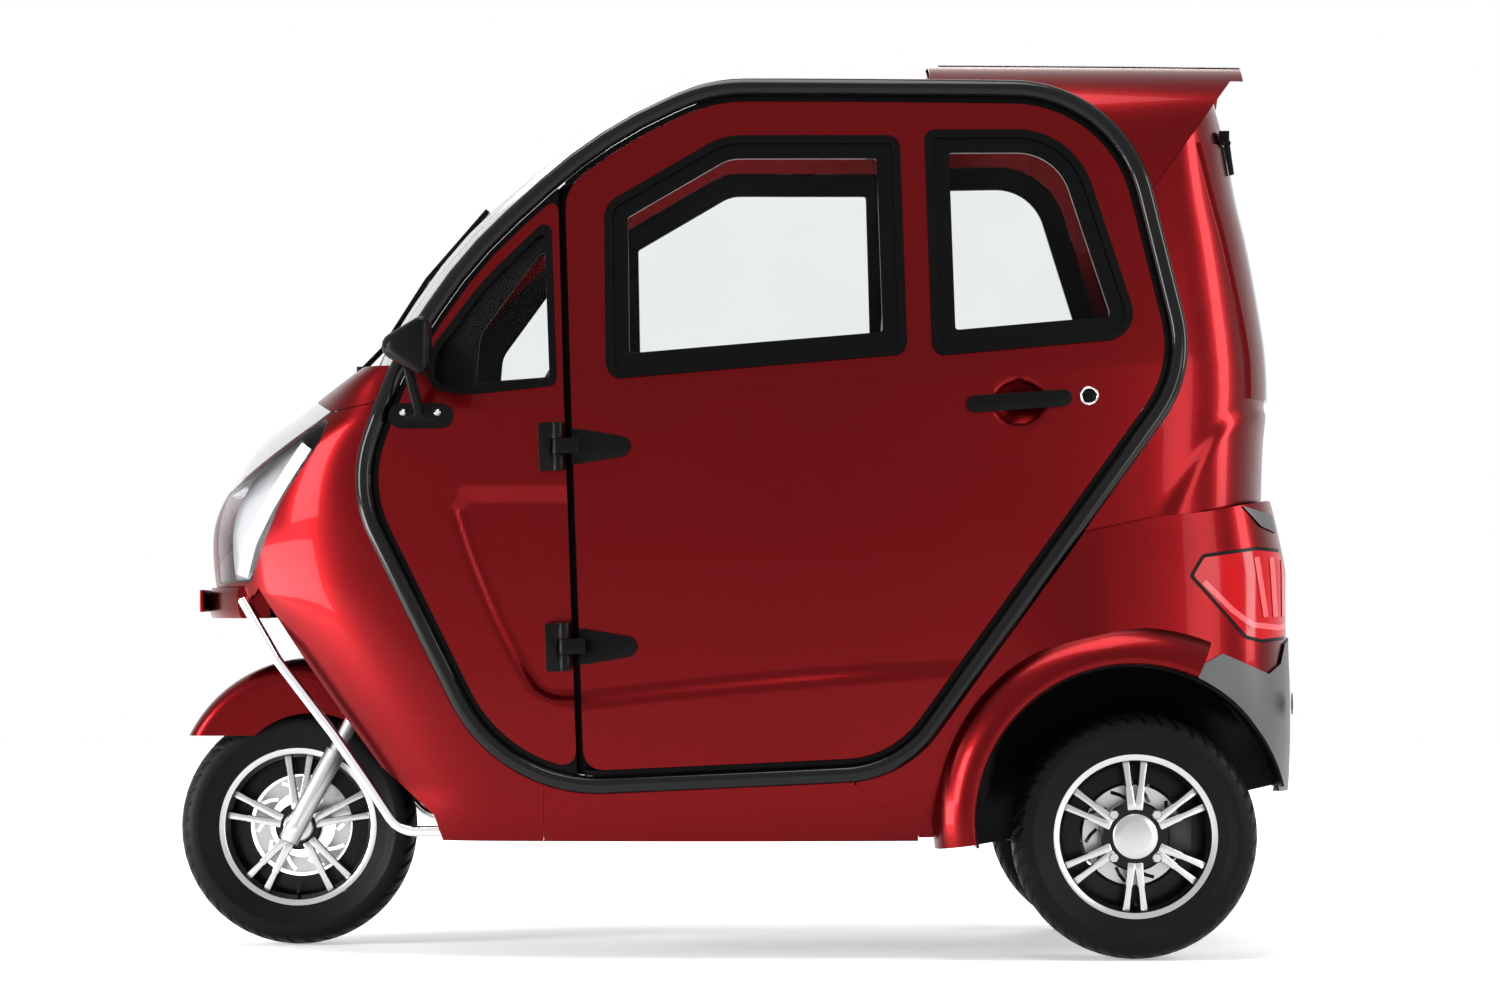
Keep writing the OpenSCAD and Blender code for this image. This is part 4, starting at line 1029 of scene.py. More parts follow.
@dataclass
class Nose:
    """Painted nose with headlamps, garnish, lip and chrome bars."""

    rows: tuple = ((225, 380, 2.5), (300, 340, 2.5), (400, 280, 2.5), (500, 210, 2.5), (600, 140, 2.5),
                   (690, 80, 2.5), (732, 70, 2.5), (794, 66, 2.5), (835, 70, 2.5), (875, 84, 2.5),
                   (923, 114, 2.5), (975, 148, 2.5), (1009, 181, 2.5), (1043, 231, 2.5), (1085, 292, 3),
                   (1123, 352, 4), (1138, 374, 4))
    shoulders: tuple = ((0.325, -0.425), (0.905, -0.715), (1.144, -0.628))
    lamp: tuple = ((-771, 1046, 6), (-790, 995, 60), (-870, 880, 200), (-915, 775, 200), (-934, 722, 12),
                   (-1120, 718, 5), (-1120, 806, 5))
    lamp_top: tuple = ((-1200, 1012), (-846, 1012), (-800, 962), (-700, 962), (-700, 1200), (-1200, 1200))
    lamp_line: tuple = ((-955, 735), (-935, 800), (-898, 868), (-858, 930), (-820, 985))
    lamp_z: tuple[float, float] = (0.69, 1.085)
    lamp_y: float = 0.150
    garnish: tuple = ((-769, 1050), (-1130, 804), (-1130, 1272))
    garnish_face: tuple = ((-772, 1051), (-1130, 807), (-1130, 1268))
    cowl: tuple = ((-769, 1050), (-560, 1092))
    shield: tuple = ((-1200, 655), (-955, 655), (-919, 711), (-830, 577), (-752, 468), (-674, 364),
                     (-636, 332), (-570, 274), (-545, 200), (-1200, 100))
    bar: tuple = ((-952, -262.3, 688), (-879, -315, 571), (-768, -335, 428), (-703, -350, 336),
                  (-640, -360, 242), (-545, -360, 242))
    bar_r: float = 0.010
    bar_bend: float = 0.06
    lip_z: tuple[float, float] = (0.652, 0.712)
    lip_half: float = 0.252
    lip_set: float = 0.074
    tip_x: float = -1.1
    end_x: float = -0.358
    flank: float = 0.12
    across: int = 150
    skin_t: float = 0.005

    def shoulder(self, z: float) -> float:
        """Returns where the nose starts to turn in from the side."""
        return curve_at(self.shoulders, z)

    def setback(self, z: float) -> float:
        """Returns the place of the nose's middle line."""
        return self.tip_x + curve_at(column(self.rows, 1), z)

    def point(self, u: float, z: float, inset: float, nose_x: Optional[float] = None) -> Vector:
        """Finds a point of the nose.

        Args:
            u: Share of the way from the right flank round to the left flank.
            z: Height.
            inset: Depth behind the surface.
            nose_x: Place of the middle line where it isn't the nose's own.

        Returns:
            The point.
        """
        s = self.shoulder(z)
        if u < self.flank or u > 1 - self.flank:
            t = min(u, 1 - u) / self.flank
            x = self.end_x + (s - self.end_x) * t
            return Vector((x, (1 if u < 0.5 else -1) * (SIDE.y(x, z) - inset), z))
        a = -math.pi / 2 + math.pi * (u - self.flank) / (1 - 2 * self.flank)
        power = 2 / curve_at([(r[0] / 1000, r[2]) for r in self.rows], z)
        front = (self.setback(z) if nose_x is None else nose_x) + inset
        x = s - (s - front) * max(0.0, math.cos(a)) ** power
        return Vector((x, -math.copysign(1, a) * (SIDE.y(x, z) - inset) * abs(math.sin(a)) ** power, z))

    def skin(self, name: str, z0: float, z1: float, out: float, deep: float, up: int) -> bpy.types.Object:
        """Makes a skin of the nose between two heights.

        Args:
            name: Name of the skin.
            z0: Lower height.
            z1: Upper height.
            out: How far its face stands out of the surface.
            deep: How far its back lies behind the surface.
            up: Number of cells up.

        Returns:
            The skin.
        """
        return skin(name, self.across, up,
                    lambda u, v, w: self.point(u, z0 + (z1 - z0) * v, -out + w * (out + deep)))

    def build(self) -> None:
        """Builds the nose and what it carries."""
        lamp, half, (low, high) = rounded(self.lamp), self.lip_half, self.lip_z
        slot = block((-1.2, -half - SEAM, low), (-0.9, half + SEAM, high + SEAM))
        fascia = carved(
            self.skin("nose_fascia", 0.225, 1.138, 0.0, self.skin_t, 90),
            take(VIEW.hoop_line(VIEW.hoop_r + SEAM)), take(lamp, -OVER, -self.lamp_y),
            take(lamp, self.lamp_y, OVER), take(points(self.garnish)),
            take(strip(points(self.cowl), 0.002)), take(points(self.shield)), (Cut.TAKE, slot))
        dress(fascia, PAINT, Body.SHELL, "front_fascia")
        garnish = carved(self.skin("hood_garnish_panel", 0.88, 1.138, 0.0, self.skin_t, 40),
                         keep(points(self.garnish_face)))
        dress(garnish, SILVER, Body.SHELL, "hood_garnish")
        self.build_lamps()
        lip = carved(
            skin("nose_lip", self.across, 12, lambda u, v, w: self.point(
                u, low + (high - low) * v, -0.014 + 0.004 * (2 * v - 1) ** 4 + w * 0.059,
                self.tip_x + self.lip_set)),
            (Cut.KEEP, block((-1.2, -half, 0.6), (-0.9, half, 0.8))))
        dress(lip, PAINT, Body.SHELL, "front_lip")
        path = [Vector(p) / 1000 for p in self.bar]
        line = [path[0]]
        for i in range(1, len(path) - 1):
            line += corner_arc(path[i - 1], path[i], path[i + 1], self.bar_bend)
        line.append(path[-1])
        bar = tube("chrome_bar", line, lambda t: self.bar_r, ACROSS, 24)
        dress_pair(bar, "chrome_bar_pair", CHROME, "crash_bars")

    def build_lamps(self) -> None:
        """Builds the headlamps: lens, silver bowl, dark upper bowl, bezel and bright strip."""
        side = (-OVER, -self.lamp_y - SEAM)
        inner, top = rounded(self.lamp, -0.002), points(self.lamp_top)

        def layer(name: str, out: float, deep: float, area: Outline, *cuts: CutStep) -> bpy.types.Object:
            """Makes a layer of the left lamp.

            Args:
                name: Name of the layer.
                out: How far its face stands out of the nose.
                deep: How far its back lies behind the nose.
                area: Its outline in side view.
                cuts: Further cuts.

            Returns:
                The layer.
            """
            return carved(self.skin(name, *self.lamp_z, out, deep, 56), keep(area, *side), *cuts)

        dress_pair(layer("lamp_lens", 0.0, 0.003, rounded(self.lamp, -SEAM)), "headlamp_lens_pair", LENS,
                   "headlamps")
        dress_pair(layer("lamp_bowl", -0.030, 0.036, inner, take(top)), "lamp_bowl_pair", REFLECTOR)
        dress_pair(layer("lamp_cowl", -0.030, 0.036, inner, keep(top)), "lamp_cowl_pair", BLACK)
        dress_pair(layer("lamp_bezel", -0.0034, 0.020, inner, take(rounded(self.lamp, -0.005))),
                   "lamp_bezel_pair", BLACK)
        dress_pair(layer("lamp_strip", -0.010, 0.018, strip(points(self.lamp_line), 0.024)),
                   "lamp_strip_pair", STRIP_WHITE)


@dataclass
class MirrorBolts:
    """Bright bolts on the feet of the mirrors."""

    places: tuple = ((-0.627, 1.046), (-0.561, 1.046))
    foot: tuple[float, float] = (-0.595, 1.040)
    stand: float = 0.013
    head: tuple = ((0.0, -0.003), (0.004, -0.003), (0.0065, 0.0), (0.0065, 0.003), (0.0, 0.003))

    def build(self) -> None:
        """Builds the bolts of both sides."""
        y = -SIDE.y(*self.foot) - self.stand
        heads = [turned("bolt_head", Vector((x, y, z)), self.head, 24) for x, z in self.places]
        dress_pair(joined("mirror_bolts", heads), "mirror_bolt_set", CHROME)


@dataclass
class Canopy:
    """Windscreen, roof panel and spoiler."""

    crown: float = 0.069
    hoop_top: float = 1.675
    screen: tuple[float, float] = (-0.652, -0.060)
    roof_end: float = 0.386
    spoiler_end: float = 1.000
    spoiler_base: float = 1.450
    below: tuple = ((506, 1067), (806, 1472), (975, 1700), (1100, 1700), (1100, 1300))
    trim_z: float = 1.734
    reach: float = 0.012
    skin_t: float = 0.005
    gutter_in: float = 0.006
    gutter_t: float = 0.003
    cabin: tuple[float, float, float] = (0.300, 0.0, 1.200)
    line: list = field(default_factory=list)

    def path(self, x: float) -> tuple[Vector, Vector]:
        """Follows the hoop's upper line.

        Args:
            x: Station.

        Returns:
            The line's point at the station and its upward normal.
        """
        def height(at: float) -> float:
            """Finds the line's height.

            Args:
                at: Station.

            Returns:
                The height.
            """
            for p, q in zip(self.line, self.line[1:]):
                if p.x <= at <= q.x:
                    return p.y + (q.y - p.y) * (at - p.x) / (q.x - p.x)
            return self.line[-1].y

        rise = height(x + self.reach) - height(x - self.reach)
        along = Vector((2 * self.reach, rise)).normalized()
        return Vector((x, height(x))), Vector((-along.y, along.x))

    def sheet(self, name: str, x0: float, x1: float, up: int) -> bpy.types.Object:
        """Makes a crowned sheet between two stations.

        Args:
            name: Name of the sheet.
            x0: Front station.
            x1: Rear station.
            up: Number of cells along it.

        Returns:
            The sheet.
        """
        def place(u: float, v: float, w: float) -> Vector:
            """Finds a point of the sheet.

            Args:
                u: Share across.
                v: Share along.
                w: Share of the depth.

            Returns:
                The point.
            """
            at, up_way = self.path(x0 + (x1 - x0) * v)
            s = 1 - 2 * u
            half = SIDE.y(at.x, at.y) - VIEW.hoop_r - SEAM
            rise = self.crown * (1 - s * s) - w * self.skin_t
            return Vector((at.x + up_way.x * rise, s * half, at.y + up_way.y * rise))

        return skin(name, 48, up, place)

    def arch(self, name: str, x0: float, x1: float, out: float, deep: float, up: int) -> bpy.types.Object:
        """Makes an arch of the spoiler between two stations.

        Args:
            name: Name of the arch.
            x0: Front station.
            x1: Rear station.
            out: How far its face stands out of the spoiler.
            deep: How far its back lies behind the spoiler.
            up: Number of cells along it.

        Returns:
            The arch.
        """
        def place(u: float, v: float, w: float) -> Vector:
            """Finds a point of the arch.

            Args:
                u: Share across.
                v: Share along.
                w: Share of the depth.

            Returns:
                The point.
            """
            a = -math.pi / 2 + math.pi * u
            x = x0 + (x1 - x0) * v
            inset = -out + w * (out + deep)
            top = self.hoop_top + self.crown - inset
            z = self.spoiler_base + (top - self.spoiler_base) * math.sqrt(max(0.0, math.cos(a)))
            return Vector((x, -math.copysign(1, a) * (SIDE.y(x, z) - inset) * math.sqrt(abs(math.sin(a))),
                           z))

        return skin(name, 120, up, place)

    def build(self) -> None:
        """Builds the canopy's pieces."""
        corners = [VIEW.hoop[i] for i in (8, 7, 6, 5, 4, 3)]
        at = points([c[:2] for c in corners])
        self.line = [at[0]]
        for i in range(1, len(at) - 1):
            self.line += corner_arc(at[i - 1], at[i], at[i + 1], corners[i][2] / 1000)
        self.line.append(at[-1])
        dress(self.sheet("windscreen_glass", *self.screen, 60), GLASS, Body.SHELL, "windscreen")
        dress(self.sheet("roof_skin", self.screen[1] + SEAM, self.roof_end - SEAM, 30), PAINT, Body.SHELL,
              "roof_panel")
        shell = self.arch("spoiler_shell", self.roof_end, self.spoiler_end, 0.0, self.skin_t, 50)
        web = carved(self.arch("spoiler_web", 0.940, 0.952, -0.001, 0.120, 2),
                     (Cut.KEEP, block((0.9, -1, 1.672), (1.0, 1, 1.9))))
        spoiler = carved(shell, take(VIEW.hoop_line(VIEW.hoop_r + SEAM)), take(points(self.below)))
        dress(joined("roof_spoiler_shell", [spoiler, web]), PAINT, Body.SHELL, "roof_spoiler")
        trim = carved(self.arch("spoiler_trim", self.roof_end + 0.02, self.spoiler_end + 0.003, 0.0015,
                                0.004, 50),
                      (Cut.KEEP, block((0.0, -1, self.trim_z), (1.2, 1, 1.9))))
        dress(trim, BLACK, Body.SHELL)
        dress_pair(self.gutter(), "roof_gutter_pair", PAINT)

    def gutter(self) -> bpy.types.Object:
        """Makes the left strip that closes the gap between the hoop's upper rear corner and the spoiler.

        Returns:
            The strip.
        """
        near, far = VIEW.hoop_line(), VIEW.hoop_line(VIEW.hoop_r + 0.004)
        kept = [i for i, p in enumerate(far) if p.x > self.roof_end and p.y > self.spoiler_base + 0.015]
        rows = [(near[i], far[i]) for i in kept]
        last = kept[-1]
        t = (near[last].x - self.roof_end) / (near[last].x - near[last + 1].x)
        rows.append((near[last].lerp(near[last + 1], t), far[last].lerp(far[last + 1], t)))

        def place(u: float, v: float, w: float) -> Vector:
            """Finds a point of the strip.

            Args:
                u: Share along.
                v: Share of the way from the hoop to the spoiler.
                w: Share of the depth.

            Returns:
                The point.
            """
            i = min(int(u * (len(rows) - 1)), len(rows) - 2)
            t = u * (len(rows) - 1) - i
            a, b = (rows[i][k].lerp(rows[i + 1][k], t) for k in (0, 1))
            rise = self.hoop_top + self.crown - self.gutter_in - self.spoiler_base
            share = (b.y - self.spoiler_base) / rise
            wide = (SIDE.y(b.x, b.y) - self.gutter_in) * (1 - share**4) ** 0.25
            start = Vector((a.x, -SIDE.y(a.x, a.y), a.y))
            inward = (Vector(self.cabin) - start).normalized()
            return start.lerp(Vector((b.x, -wide, b.y)), v) + inward * self.gutter_t * w

        return skin("roof_gutter", 60, 6, place)


@dataclass
class Tail:
    """Rear of the body with its hatch, lamps, bumper and flares."""

    tail_rows: tuple = ((800, 60), (881, 58), (990, 54), (1070, 46), (1120, 46), (1178, 50), (1234, 58),
                        (1322, 73), (1394, 87), (1465, 104), (1540, 118), (1617, 129), (1661, 141),
                        (1676, 145))
    rear_rows: tuple = ((232, 13, 42), (317, 7, 52), (400, 5, 58), (503, 5, 58), (600, 8, 50), (700, 8, 36),
                        (746, 8, 28), (810, 20, 16), (846, 28, 10), (880, 37, 6))
    joint: tuple = ((600, 800), (676, 816), (816, 847), (908, 856), (1022, 877), (1160, 900))
    skirt: tuple = ((506, 1068), (806.8, 1471), (975.8, 1699), (975.8, 2500), (506, 2500))
    sill: tuple = ((237.6, 336), (360.6, 240), (361, 100), (0, 100), (0, 336))
    web: tuple = ((664, 1232), (830, 1454), (999, 1682), (1010, 1760), (380, 1760), (500, 1100))
    lamp: tuple = ((876, 733, 10), (902, 775, 15), (1012, 790, 60), (1130, 782, 5), (1130, 616, 5),
                   (1020, 605, 20), (985, 613, 20))
    bumper: tuple = ((880, 520), (893, 560), (940, 585), (1035, 545), (1063, 564), (1075, 602), (1140, 640),
                     (1140, 317), (960, 317))
    step: tuple = ((0.800, 0.800), (0.850, 0.827), (0.915, 0.861), (0.982, 0.901), (1.022, 0.936),
                   (1.047, 0.980), (1.059, 1.033))
    strips: tuple = (((905, 722), (960, 668), (1000, 640), (1060, 634), (1085, 640)),
                     ((1030, 655), (1012, 770)), ((1052, 655), (1045, 770)), ((1074, 655), (1074, 765)))
    cover: tuple = ((985, 868), (1074, 846), (1140, 846), (1140, 800), (1082, 809), (1024, 830))
    flare: tuple = ((0.003, 0.002), (0.010, 0.0), (0.020, 0.001), (0.032, 0.006), (0.045, 0.015),
                    (0.058, 0.028), (0.070, 0.046))
    arch: tuple[float, float, float] = (0.765, 0.265, 0.300)
    arch_half: float = 0.530
    arch_gap: float = 0.002
    lamp_y: float = 0.300
    lamp_z: tuple[float, float] = (0.59, 0.82)
    hatch_half: float = 0.345
    pane_half: float = 0.262
    hatch_z: tuple[float, float] = (1.078, 1.574)
    hatch_open: float = 0.026
    pad_size: tuple[float, float, float] = (0.009, 0.300, 0.044)
    pad_at: tuple[float, float, float] = (-1.0447, 0, 0.686)
    reflector_at: tuple[float, float, float] = (1.090, -0.345, 0.487)
    end_x: float = 1.1
    flank: float = 0.2
    flank_x: float = 0.70
    skin_t: float = 0.005

    def rise(self, x: float, z: float) -> float:
        """Returns how far the lower part of the upper tail stands out behind its curved step."""
        return 0.006 * smooth((x - curve_at(self.step, z)) / 0.024) * smooth((1.068 - z) / 0.022)

    def swell(self, x: float) -> float:
        """Returns the share of the lower bulge at a station."""
        return smooth((x - 0.480) / 0.240)

    def point(self, u: float, z: float, inset: float, upper: bool, front: float) -> Vector:
        """Finds a point of the tail.

        Args:
            u: Share of the way from the left flank round to the right flank.
            z: Height.
            inset: Depth behind the surface.
            upper: Whether it is the upper tail.
            front: Station of the flanks' front ends.

        Returns:
            The point.
        """
        rows = self.tail_rows if upper else self.rear_rows
        end = self.end_x - curve_at(column(rows, 1), z)
        bulge = 0.0 if upper else curve_at(column(rows, 2), z)
        start, square = (0.760, 3.5) if upper else (0.800, 4.0)
        if u < self.flank or u > 1 - self.flank:
            x = front + (start - front) * min(u, 1 - u) / self.flank
            return Vector((x, (-1 if u < 0.5 else 1) * (SIDE.y(x, z) + bulge * self.swell(x) - inset), z))
        a = -math.pi / 2 + math.pi * (u - self.flank) / (1 - 2 * self.flank)
        x = start + (end - inset - start) * max(0.0, math.cos(a)) ** (2 / square)
        if upper:
            inset -= self.rise(x, z)
            x = start + (end - inset - start) * max(0.0, math.cos(a)) ** (2 / square)
        wide = SIDE.y(x, z) + bulge * self.swell(x) - inset
        return Vector((x, math.copysign(1, a) * wide * abs(math.sin(a)) ** (2 / square), z))

    def skin(self, name: str, z0: float, z1: float, out: float, deep: float, upper: bool, front: float,
             up: int) -> bpy.types.Object:
        """Makes a skin of the tail between two heights.

        Args:
            name: Name of the skin.
            z0: Lower height.
            z1: Upper height.
            out: How far its face stands out of the surface.
            deep: How far its back lies behind the surface.
            upper: Whether it is the upper tail.
            front: Station of the flanks' front ends.
            up: Number of cells up.

        Returns:
            The skin.
        """
        return skin(name, 150, up,
                    lambda u, v, w: self.point(u, z0 + (z1 - z0) * v, -out + w * (out + deep), upper, front))

    def arch_cuts(self) -> list[CutStep]:
        """Makes the cuts of the two wheel arches.

        Returns:
            The two cuts.
        """
        hole = ring_outline(self.arch[0], self.arch[1], self.arch[2] + self.arch_gap)
        return [take(hole, -OVER, -0.3), take(hole, 0.3, OVER)]

    def build(self) -> None:
        """Builds the tail's pieces."""
        hoop = VIEW.hoop_line(VIEW.hoop_r + SEAM)
        joint = points(self.joint)
        half, (low, high), gap = self.hatch_half, self.hatch_z, self.hatch_open
        upper = carved(
            self.skin("tail_shell", 0.80, 1.676, 0.0, self.skin_t, True, 0.60, 80), take(hoop),
            take(joint + [Vector((1.16, -0.1)), Vector((0.6, -0.1))]), take(points(self.skirt)),
            (Cut.TAKE, block((0.9, -half + gap, low + gap), (1.2, half - gap, high - gap))))
        dress(upper, PAINT, Body.SHELL, "tail_panels")
        pane = carved(self.skin("hatch_pane", 1.06, 1.60, 0.006, -0.001, True, self.flank_x, 50),
                      (Cut.KEEP, block((0.9, -self.pane_half, low), (1.2, self.pane_half, high))))
        dress(pane, TINT, Body.HATCH, "hatch_glass")
        for name, end in (("hatch_edge_left", -1), ("hatch_edge_right", 1)):
            near, far = sorted((end * self.pane_half, end * half))
            edge = carved(self.skin(name, 1.06, 1.60, 0.007, 0.0, True, self.flank_x, 50),
                          (Cut.KEEP, block((0.9, near, low), (1.2, far, high))))
            dress(edge, PAINT, Body.HATCH)
        roof = Canopy().arch("cutter", 0.386, 0.990, -0.002, 0.150, 40)
        wall = carved(self.skin("tail_web", 1.20, 1.744, -0.006, 0.009, True, 0.60, 60), (Cut.KEEP, roof),
                      keep(points(self.web)), take(hoop))
        dress(wall, PAINT, Body.SHELL)
        self.build_lower(hoop, joint)
        self.build_lamps()

    def build_lower(self, hoop: Outline, joint: Outline) -> None:
        """Builds the lower rear body, its flares and the bumper.

        Args:
            hoop: Outline of the hoop's outer edge.
            joint: Line of the joint to the upper tail.
        """
        lamp, bumper = rounded(self.lamp), points(self.bumper)
        lower = carved(
            self.skin("rear_shell", 0.232, 0.880, 0.0, self.skin_t, False, 0.240, 70), *self.arch_cuts(),
            take(hoop), take(joint + [Vector((1.16, 3)), Vector((0.6, 3))]), take(points(self.sill)),
            take(lamp, -OVER, -self.lamp_y), take(lamp, self.lamp_y, OVER), take(bumper),
            (Cut.TAKE, block((0.88, -OVER, -0.1), (1.3, OVER, 0.53))))
        x, z, r = self.arch
        y = self.arch_half
        section = [(r, -0.470), (r, 0.006 - y), *[(r + out, back - y) for out, back in self.flare],
                   (r + 0.078, -0.440), (r + 0.040, -0.440)]
        flare = turned("arch_flare", Vector((x, 0, z)), section, 72, math.radians(66), math.radians(122))
        flares = mirrored(flare, "arch_flares", True)
        dress(joined("rear_body_shell", [lower, flares]), PAINT, Body.SHELL, "rear_body")
        rear = carved(self.skin("bumper_shell", 0.300, 0.700, 0.005, 0.012, False, self.flank_x, 50),
                      keep(bumper), *self.arch_cuts())
        dress(rear, GREY, Body.SHELL, "bumpers")
        shape = bmesh.new()
        bmesh.ops.create_cube(shape, size=1.0)
        bmesh.ops.scale(shape, verts=shape.verts[:], vec=self.pad_size)
        break_edges(shape, shape.edges[:], 0.003, 3)
        bmesh.ops.translate(shape, verts=shape.verts[:], vec=self.pad_at)
        dress(from_bmesh("plate_pad", shape), PAINT, Body.SHELL)

    def build_lamps(self) -> None:
        """Builds the tail lamps with their frames, pale strips, covers and small round reflectors."""
        side = (-OVER, -self.lamp_y - SEAM)
        area, inner = rounded(self.lamp, -SEAM), rounded(self.lamp, -0.007)

        def layer(name: str, out: float, deep: float, up: int, *cuts: CutStep) -> bpy.types.Object:
            """Makes a layer of the left lamp.

            Args:
                name: Name of the layer.
                out: How far its face stands out of the tail.
                deep: How far its back lies behind the tail.
                up: Number of cells up.
                cuts: Its cuts.

            Returns:
                The layer.
            """
            return carved(self.skin(name, *self.lamp_z, out, deep, False, self.flank_x, up), *cuts)

        lens = layer("tail_lens", 0.002, 0.040, 40, keep(inner, *side))
        dress_pair(lens, "tail_lens_pair", RED_LENS, "tail_lamps")
        rim = layer("tail_lamp_frame", 0.001, 0.030, 40, keep(area, *side), take(inner))
        dress_pair(rim, "tail_lamp_frame_pair", BLACK)
        for i, rows in enumerate(self.strips):
            pale = layer("tail_strip", 0.0035, 0.001, 60, keep(strip(points(rows), 0.011), *side))
            dress_pair(pale, f"tail_strip_pair_{i}", PINK_LENS)
        cover = carved(self.skin("tail_cover", 0.79, 0.880, 0.003, 0.002, False, self.flank_x, 24),
                       keep(points(self.cover), *side))
        dress_pair(cover, "tail_cover_pair", GREY)
        shape = bmesh.new()
        bmesh.ops.create_cone(shape, cap_ends=True, segments=40, radius1=0.022, radius2=0.018, depth=0.010)
        bmesh.ops.rotate(shape, verts=shape.verts[:], cent=(0, 0, 0),
                         matrix=Matrix.Rotation(math.pi / 2, 3, "Y"))
        bmesh.ops.translate(shape, verts=shape.verts[:], vec=self.reflector_at)
        dress_pair(from_bmesh("bumper_reflector", shape), "bumper_reflector_pair", STRIP_WHITE)


@dataclass
class Sills:
    """Painted sills under the doors."""

    area: tuple = ((-357.4, 225), (360, 225), (360, 240), (237, 336), (237, 420), (-357.4, 420))
    skin_t: float = 0.005

    def build(self) -> None:
        """Builds both sills."""
        left = SIDE.panel("sill_panel", points(self.area), [VIEW.hoop_line(VIEW.hoop_r + SEAM)], 0.0,
                          self.skin_t)
        dress_pair(left, "sill_pair", PAINT, "sills")


@dataclass
class Wheel:
    """Wheel with a grooved tyre, twin-spoke rim and brake disc."""

    label: str
    body: Body
    hub: Vector
    width: float
    spokes: int
    pair: float
    face: float
    bulge: float
    disc_y: float
    disc_r: float
    bolts: int
    tyre_node: str
    rim_node: str
    tyre_r: float = 0.236
    rim_r: float = 0.168
    blocks: int = 44
    groove_deep: float = 0.0045
    middle: float = 0.16
    around: int = 528
    bolt_ring: float = 0.0585
    slots: int = 10
    arms: int = 5

    def groove(self, turn: float, across: float) -> float:
        """Finds the depth of the tread's grooves.

        Args:
            turn: Share of a full turn.
            across: Place across the tread, from -1 to 1.

        Returns:
            The depth.
        """
        if abs(across) > 0.98:
            return 0.0
        slant = turn * self.blocks + abs(across) * 1.1 + (0.5 if across > 0 else 0.0)
        cut = abs(slant % 1.0 - 0.5) < 0.13 and abs(across) > self.middle
        ring = abs(abs(across) - self.middle) < 0.05
        return self.groove_deep if cut or ring else 0.0

    def build_tyre(self) -> None:
        """Builds the tyre with its tread."""
        h, r, b = self.width / 2, self.tyre_r, self.rim_r - 0.010
        side = [(b, 0.72), (b + 0.016, 0.82), (b + 0.034, self.bulge), (r - 0.040, 0.995),
                (r - 0.026, 0.975), (r - 0.012, 0.86), (r - 0.003, 0.5)]
        profile = [(a, -c * h) for a, c in side] + [(r, 0.0)] + [(a, c * h) for a, c in reversed(side)]
        rows: list[tuple[float, float]] = []
        for i in range(len(profile) - 1):
            rows += [tuple(Vector(profile[i]).lerp(Vector(profile[i + 1]), k / 5)) for k in range(5)]
        rows.append(profile[-1])
        eased = [Vector(p) for p in rows]
        for _ in range(6):
            inner = [(p + q * 2 + s) / 4 for p, q, s in zip(eased, eased[1:], eased[2:])]
            eased = [eased[0]] + inner + [eased[-1]]
        count = len(eased)
        shape = bmesh.new()
        bmesh.ops.create_grid(shape, x_segments=self.around, y_segments=count, size=0.5)
        for v in shape.verts:
            turn, row = v.co.x + 0.5, round((v.co.y + 0.5) * count) % count
            radius, y = eased[row]
            deep = self.groove(turn, y / (0.93 * h)) if radius > r - 0.030 else 0.0
            if 0.019 < radius - b < 0.0215:
                deep = -0.001
            angle = turn * math.tau
            v.co = self.hub + Vector(((radius - deep) * math.cos(angle), y,
                                      (radius - deep) * math.sin(angle)))
        bmesh.ops.remove_doubles(shape, verts=shape.verts[:], dist=CLOSE)
        dress(from_bmesh(self.label + "_tyre_piece", shape), TYRE, self.body, self.tyre_node)

    def spoke(self, angle: float, r0: float, r1: float) -> bpy.types.Object:
        """Makes one spoke with a machined face.

        Args:
            angle: Direction of the spoke.
            r0: Inner end.
            r1: Outer end.

        Returns:
            The spoke.
        """
        shape = bmesh.new()
        bmesh.ops.create_cube(shape, size=1.0)
        long = [e for e in shape.edges if abs((e.verts[0].co - e.verts[1].co).x) > 0.5]
        bmesh.ops.subdivide_edges(shape, edges=long, cuts=6)
        h = self.width / 2
        for v in shape.verts:
            t = v.co.x + 0.5
            half = 0.0085 - 0.0018 * math.sin(math.pi * t)
            front = h * 0.42 + 0.008 - 0.010 * t * t
            depth = front if v.co.y < 0 else front - 0.024 + 0.008 * t
            v.co = Vector((r0 + (r1 - r0) * t, -depth, v.co.z * 2 * half))
        break_edges(shape, shape.edges[:], 0.0016, 2)
        bmesh.ops.recalc_face_normals(shape, faces=shape.faces[:])
        for f in shape.faces:
            f.material_index = 0 if f.normal.y < -0.92 else 1
        bmesh.ops.rotate(shape, verts=shape.verts[:], cent=(0, 0, 0), matrix=Matrix.Rotation(-angle, 3, "Y"))
        return from_bmesh("spoke", shape, False)

    def placed(self, piece: bpy.types.Object) -> bpy.types.Object:
        """Moves a piece from the left wheel's own frame to this wheel, mirrored where the face looks right.

        Args:
            piece: The piece.

        Returns:
            The piece.
        """
        if self.face > 0:
            shape = bmesh.new()
            shape.from_mesh(piece.data)
            bmesh.ops.scale(shape, verts=shape.verts[:], vec=(1, -1, 1))
            bmesh.ops.reverse_faces(shape, faces=shape.faces[:])
            shape.to_mesh(piece.data)
            shape.free()
        piece.data.transform(Matrix.Translation(self.hub))
        return piece

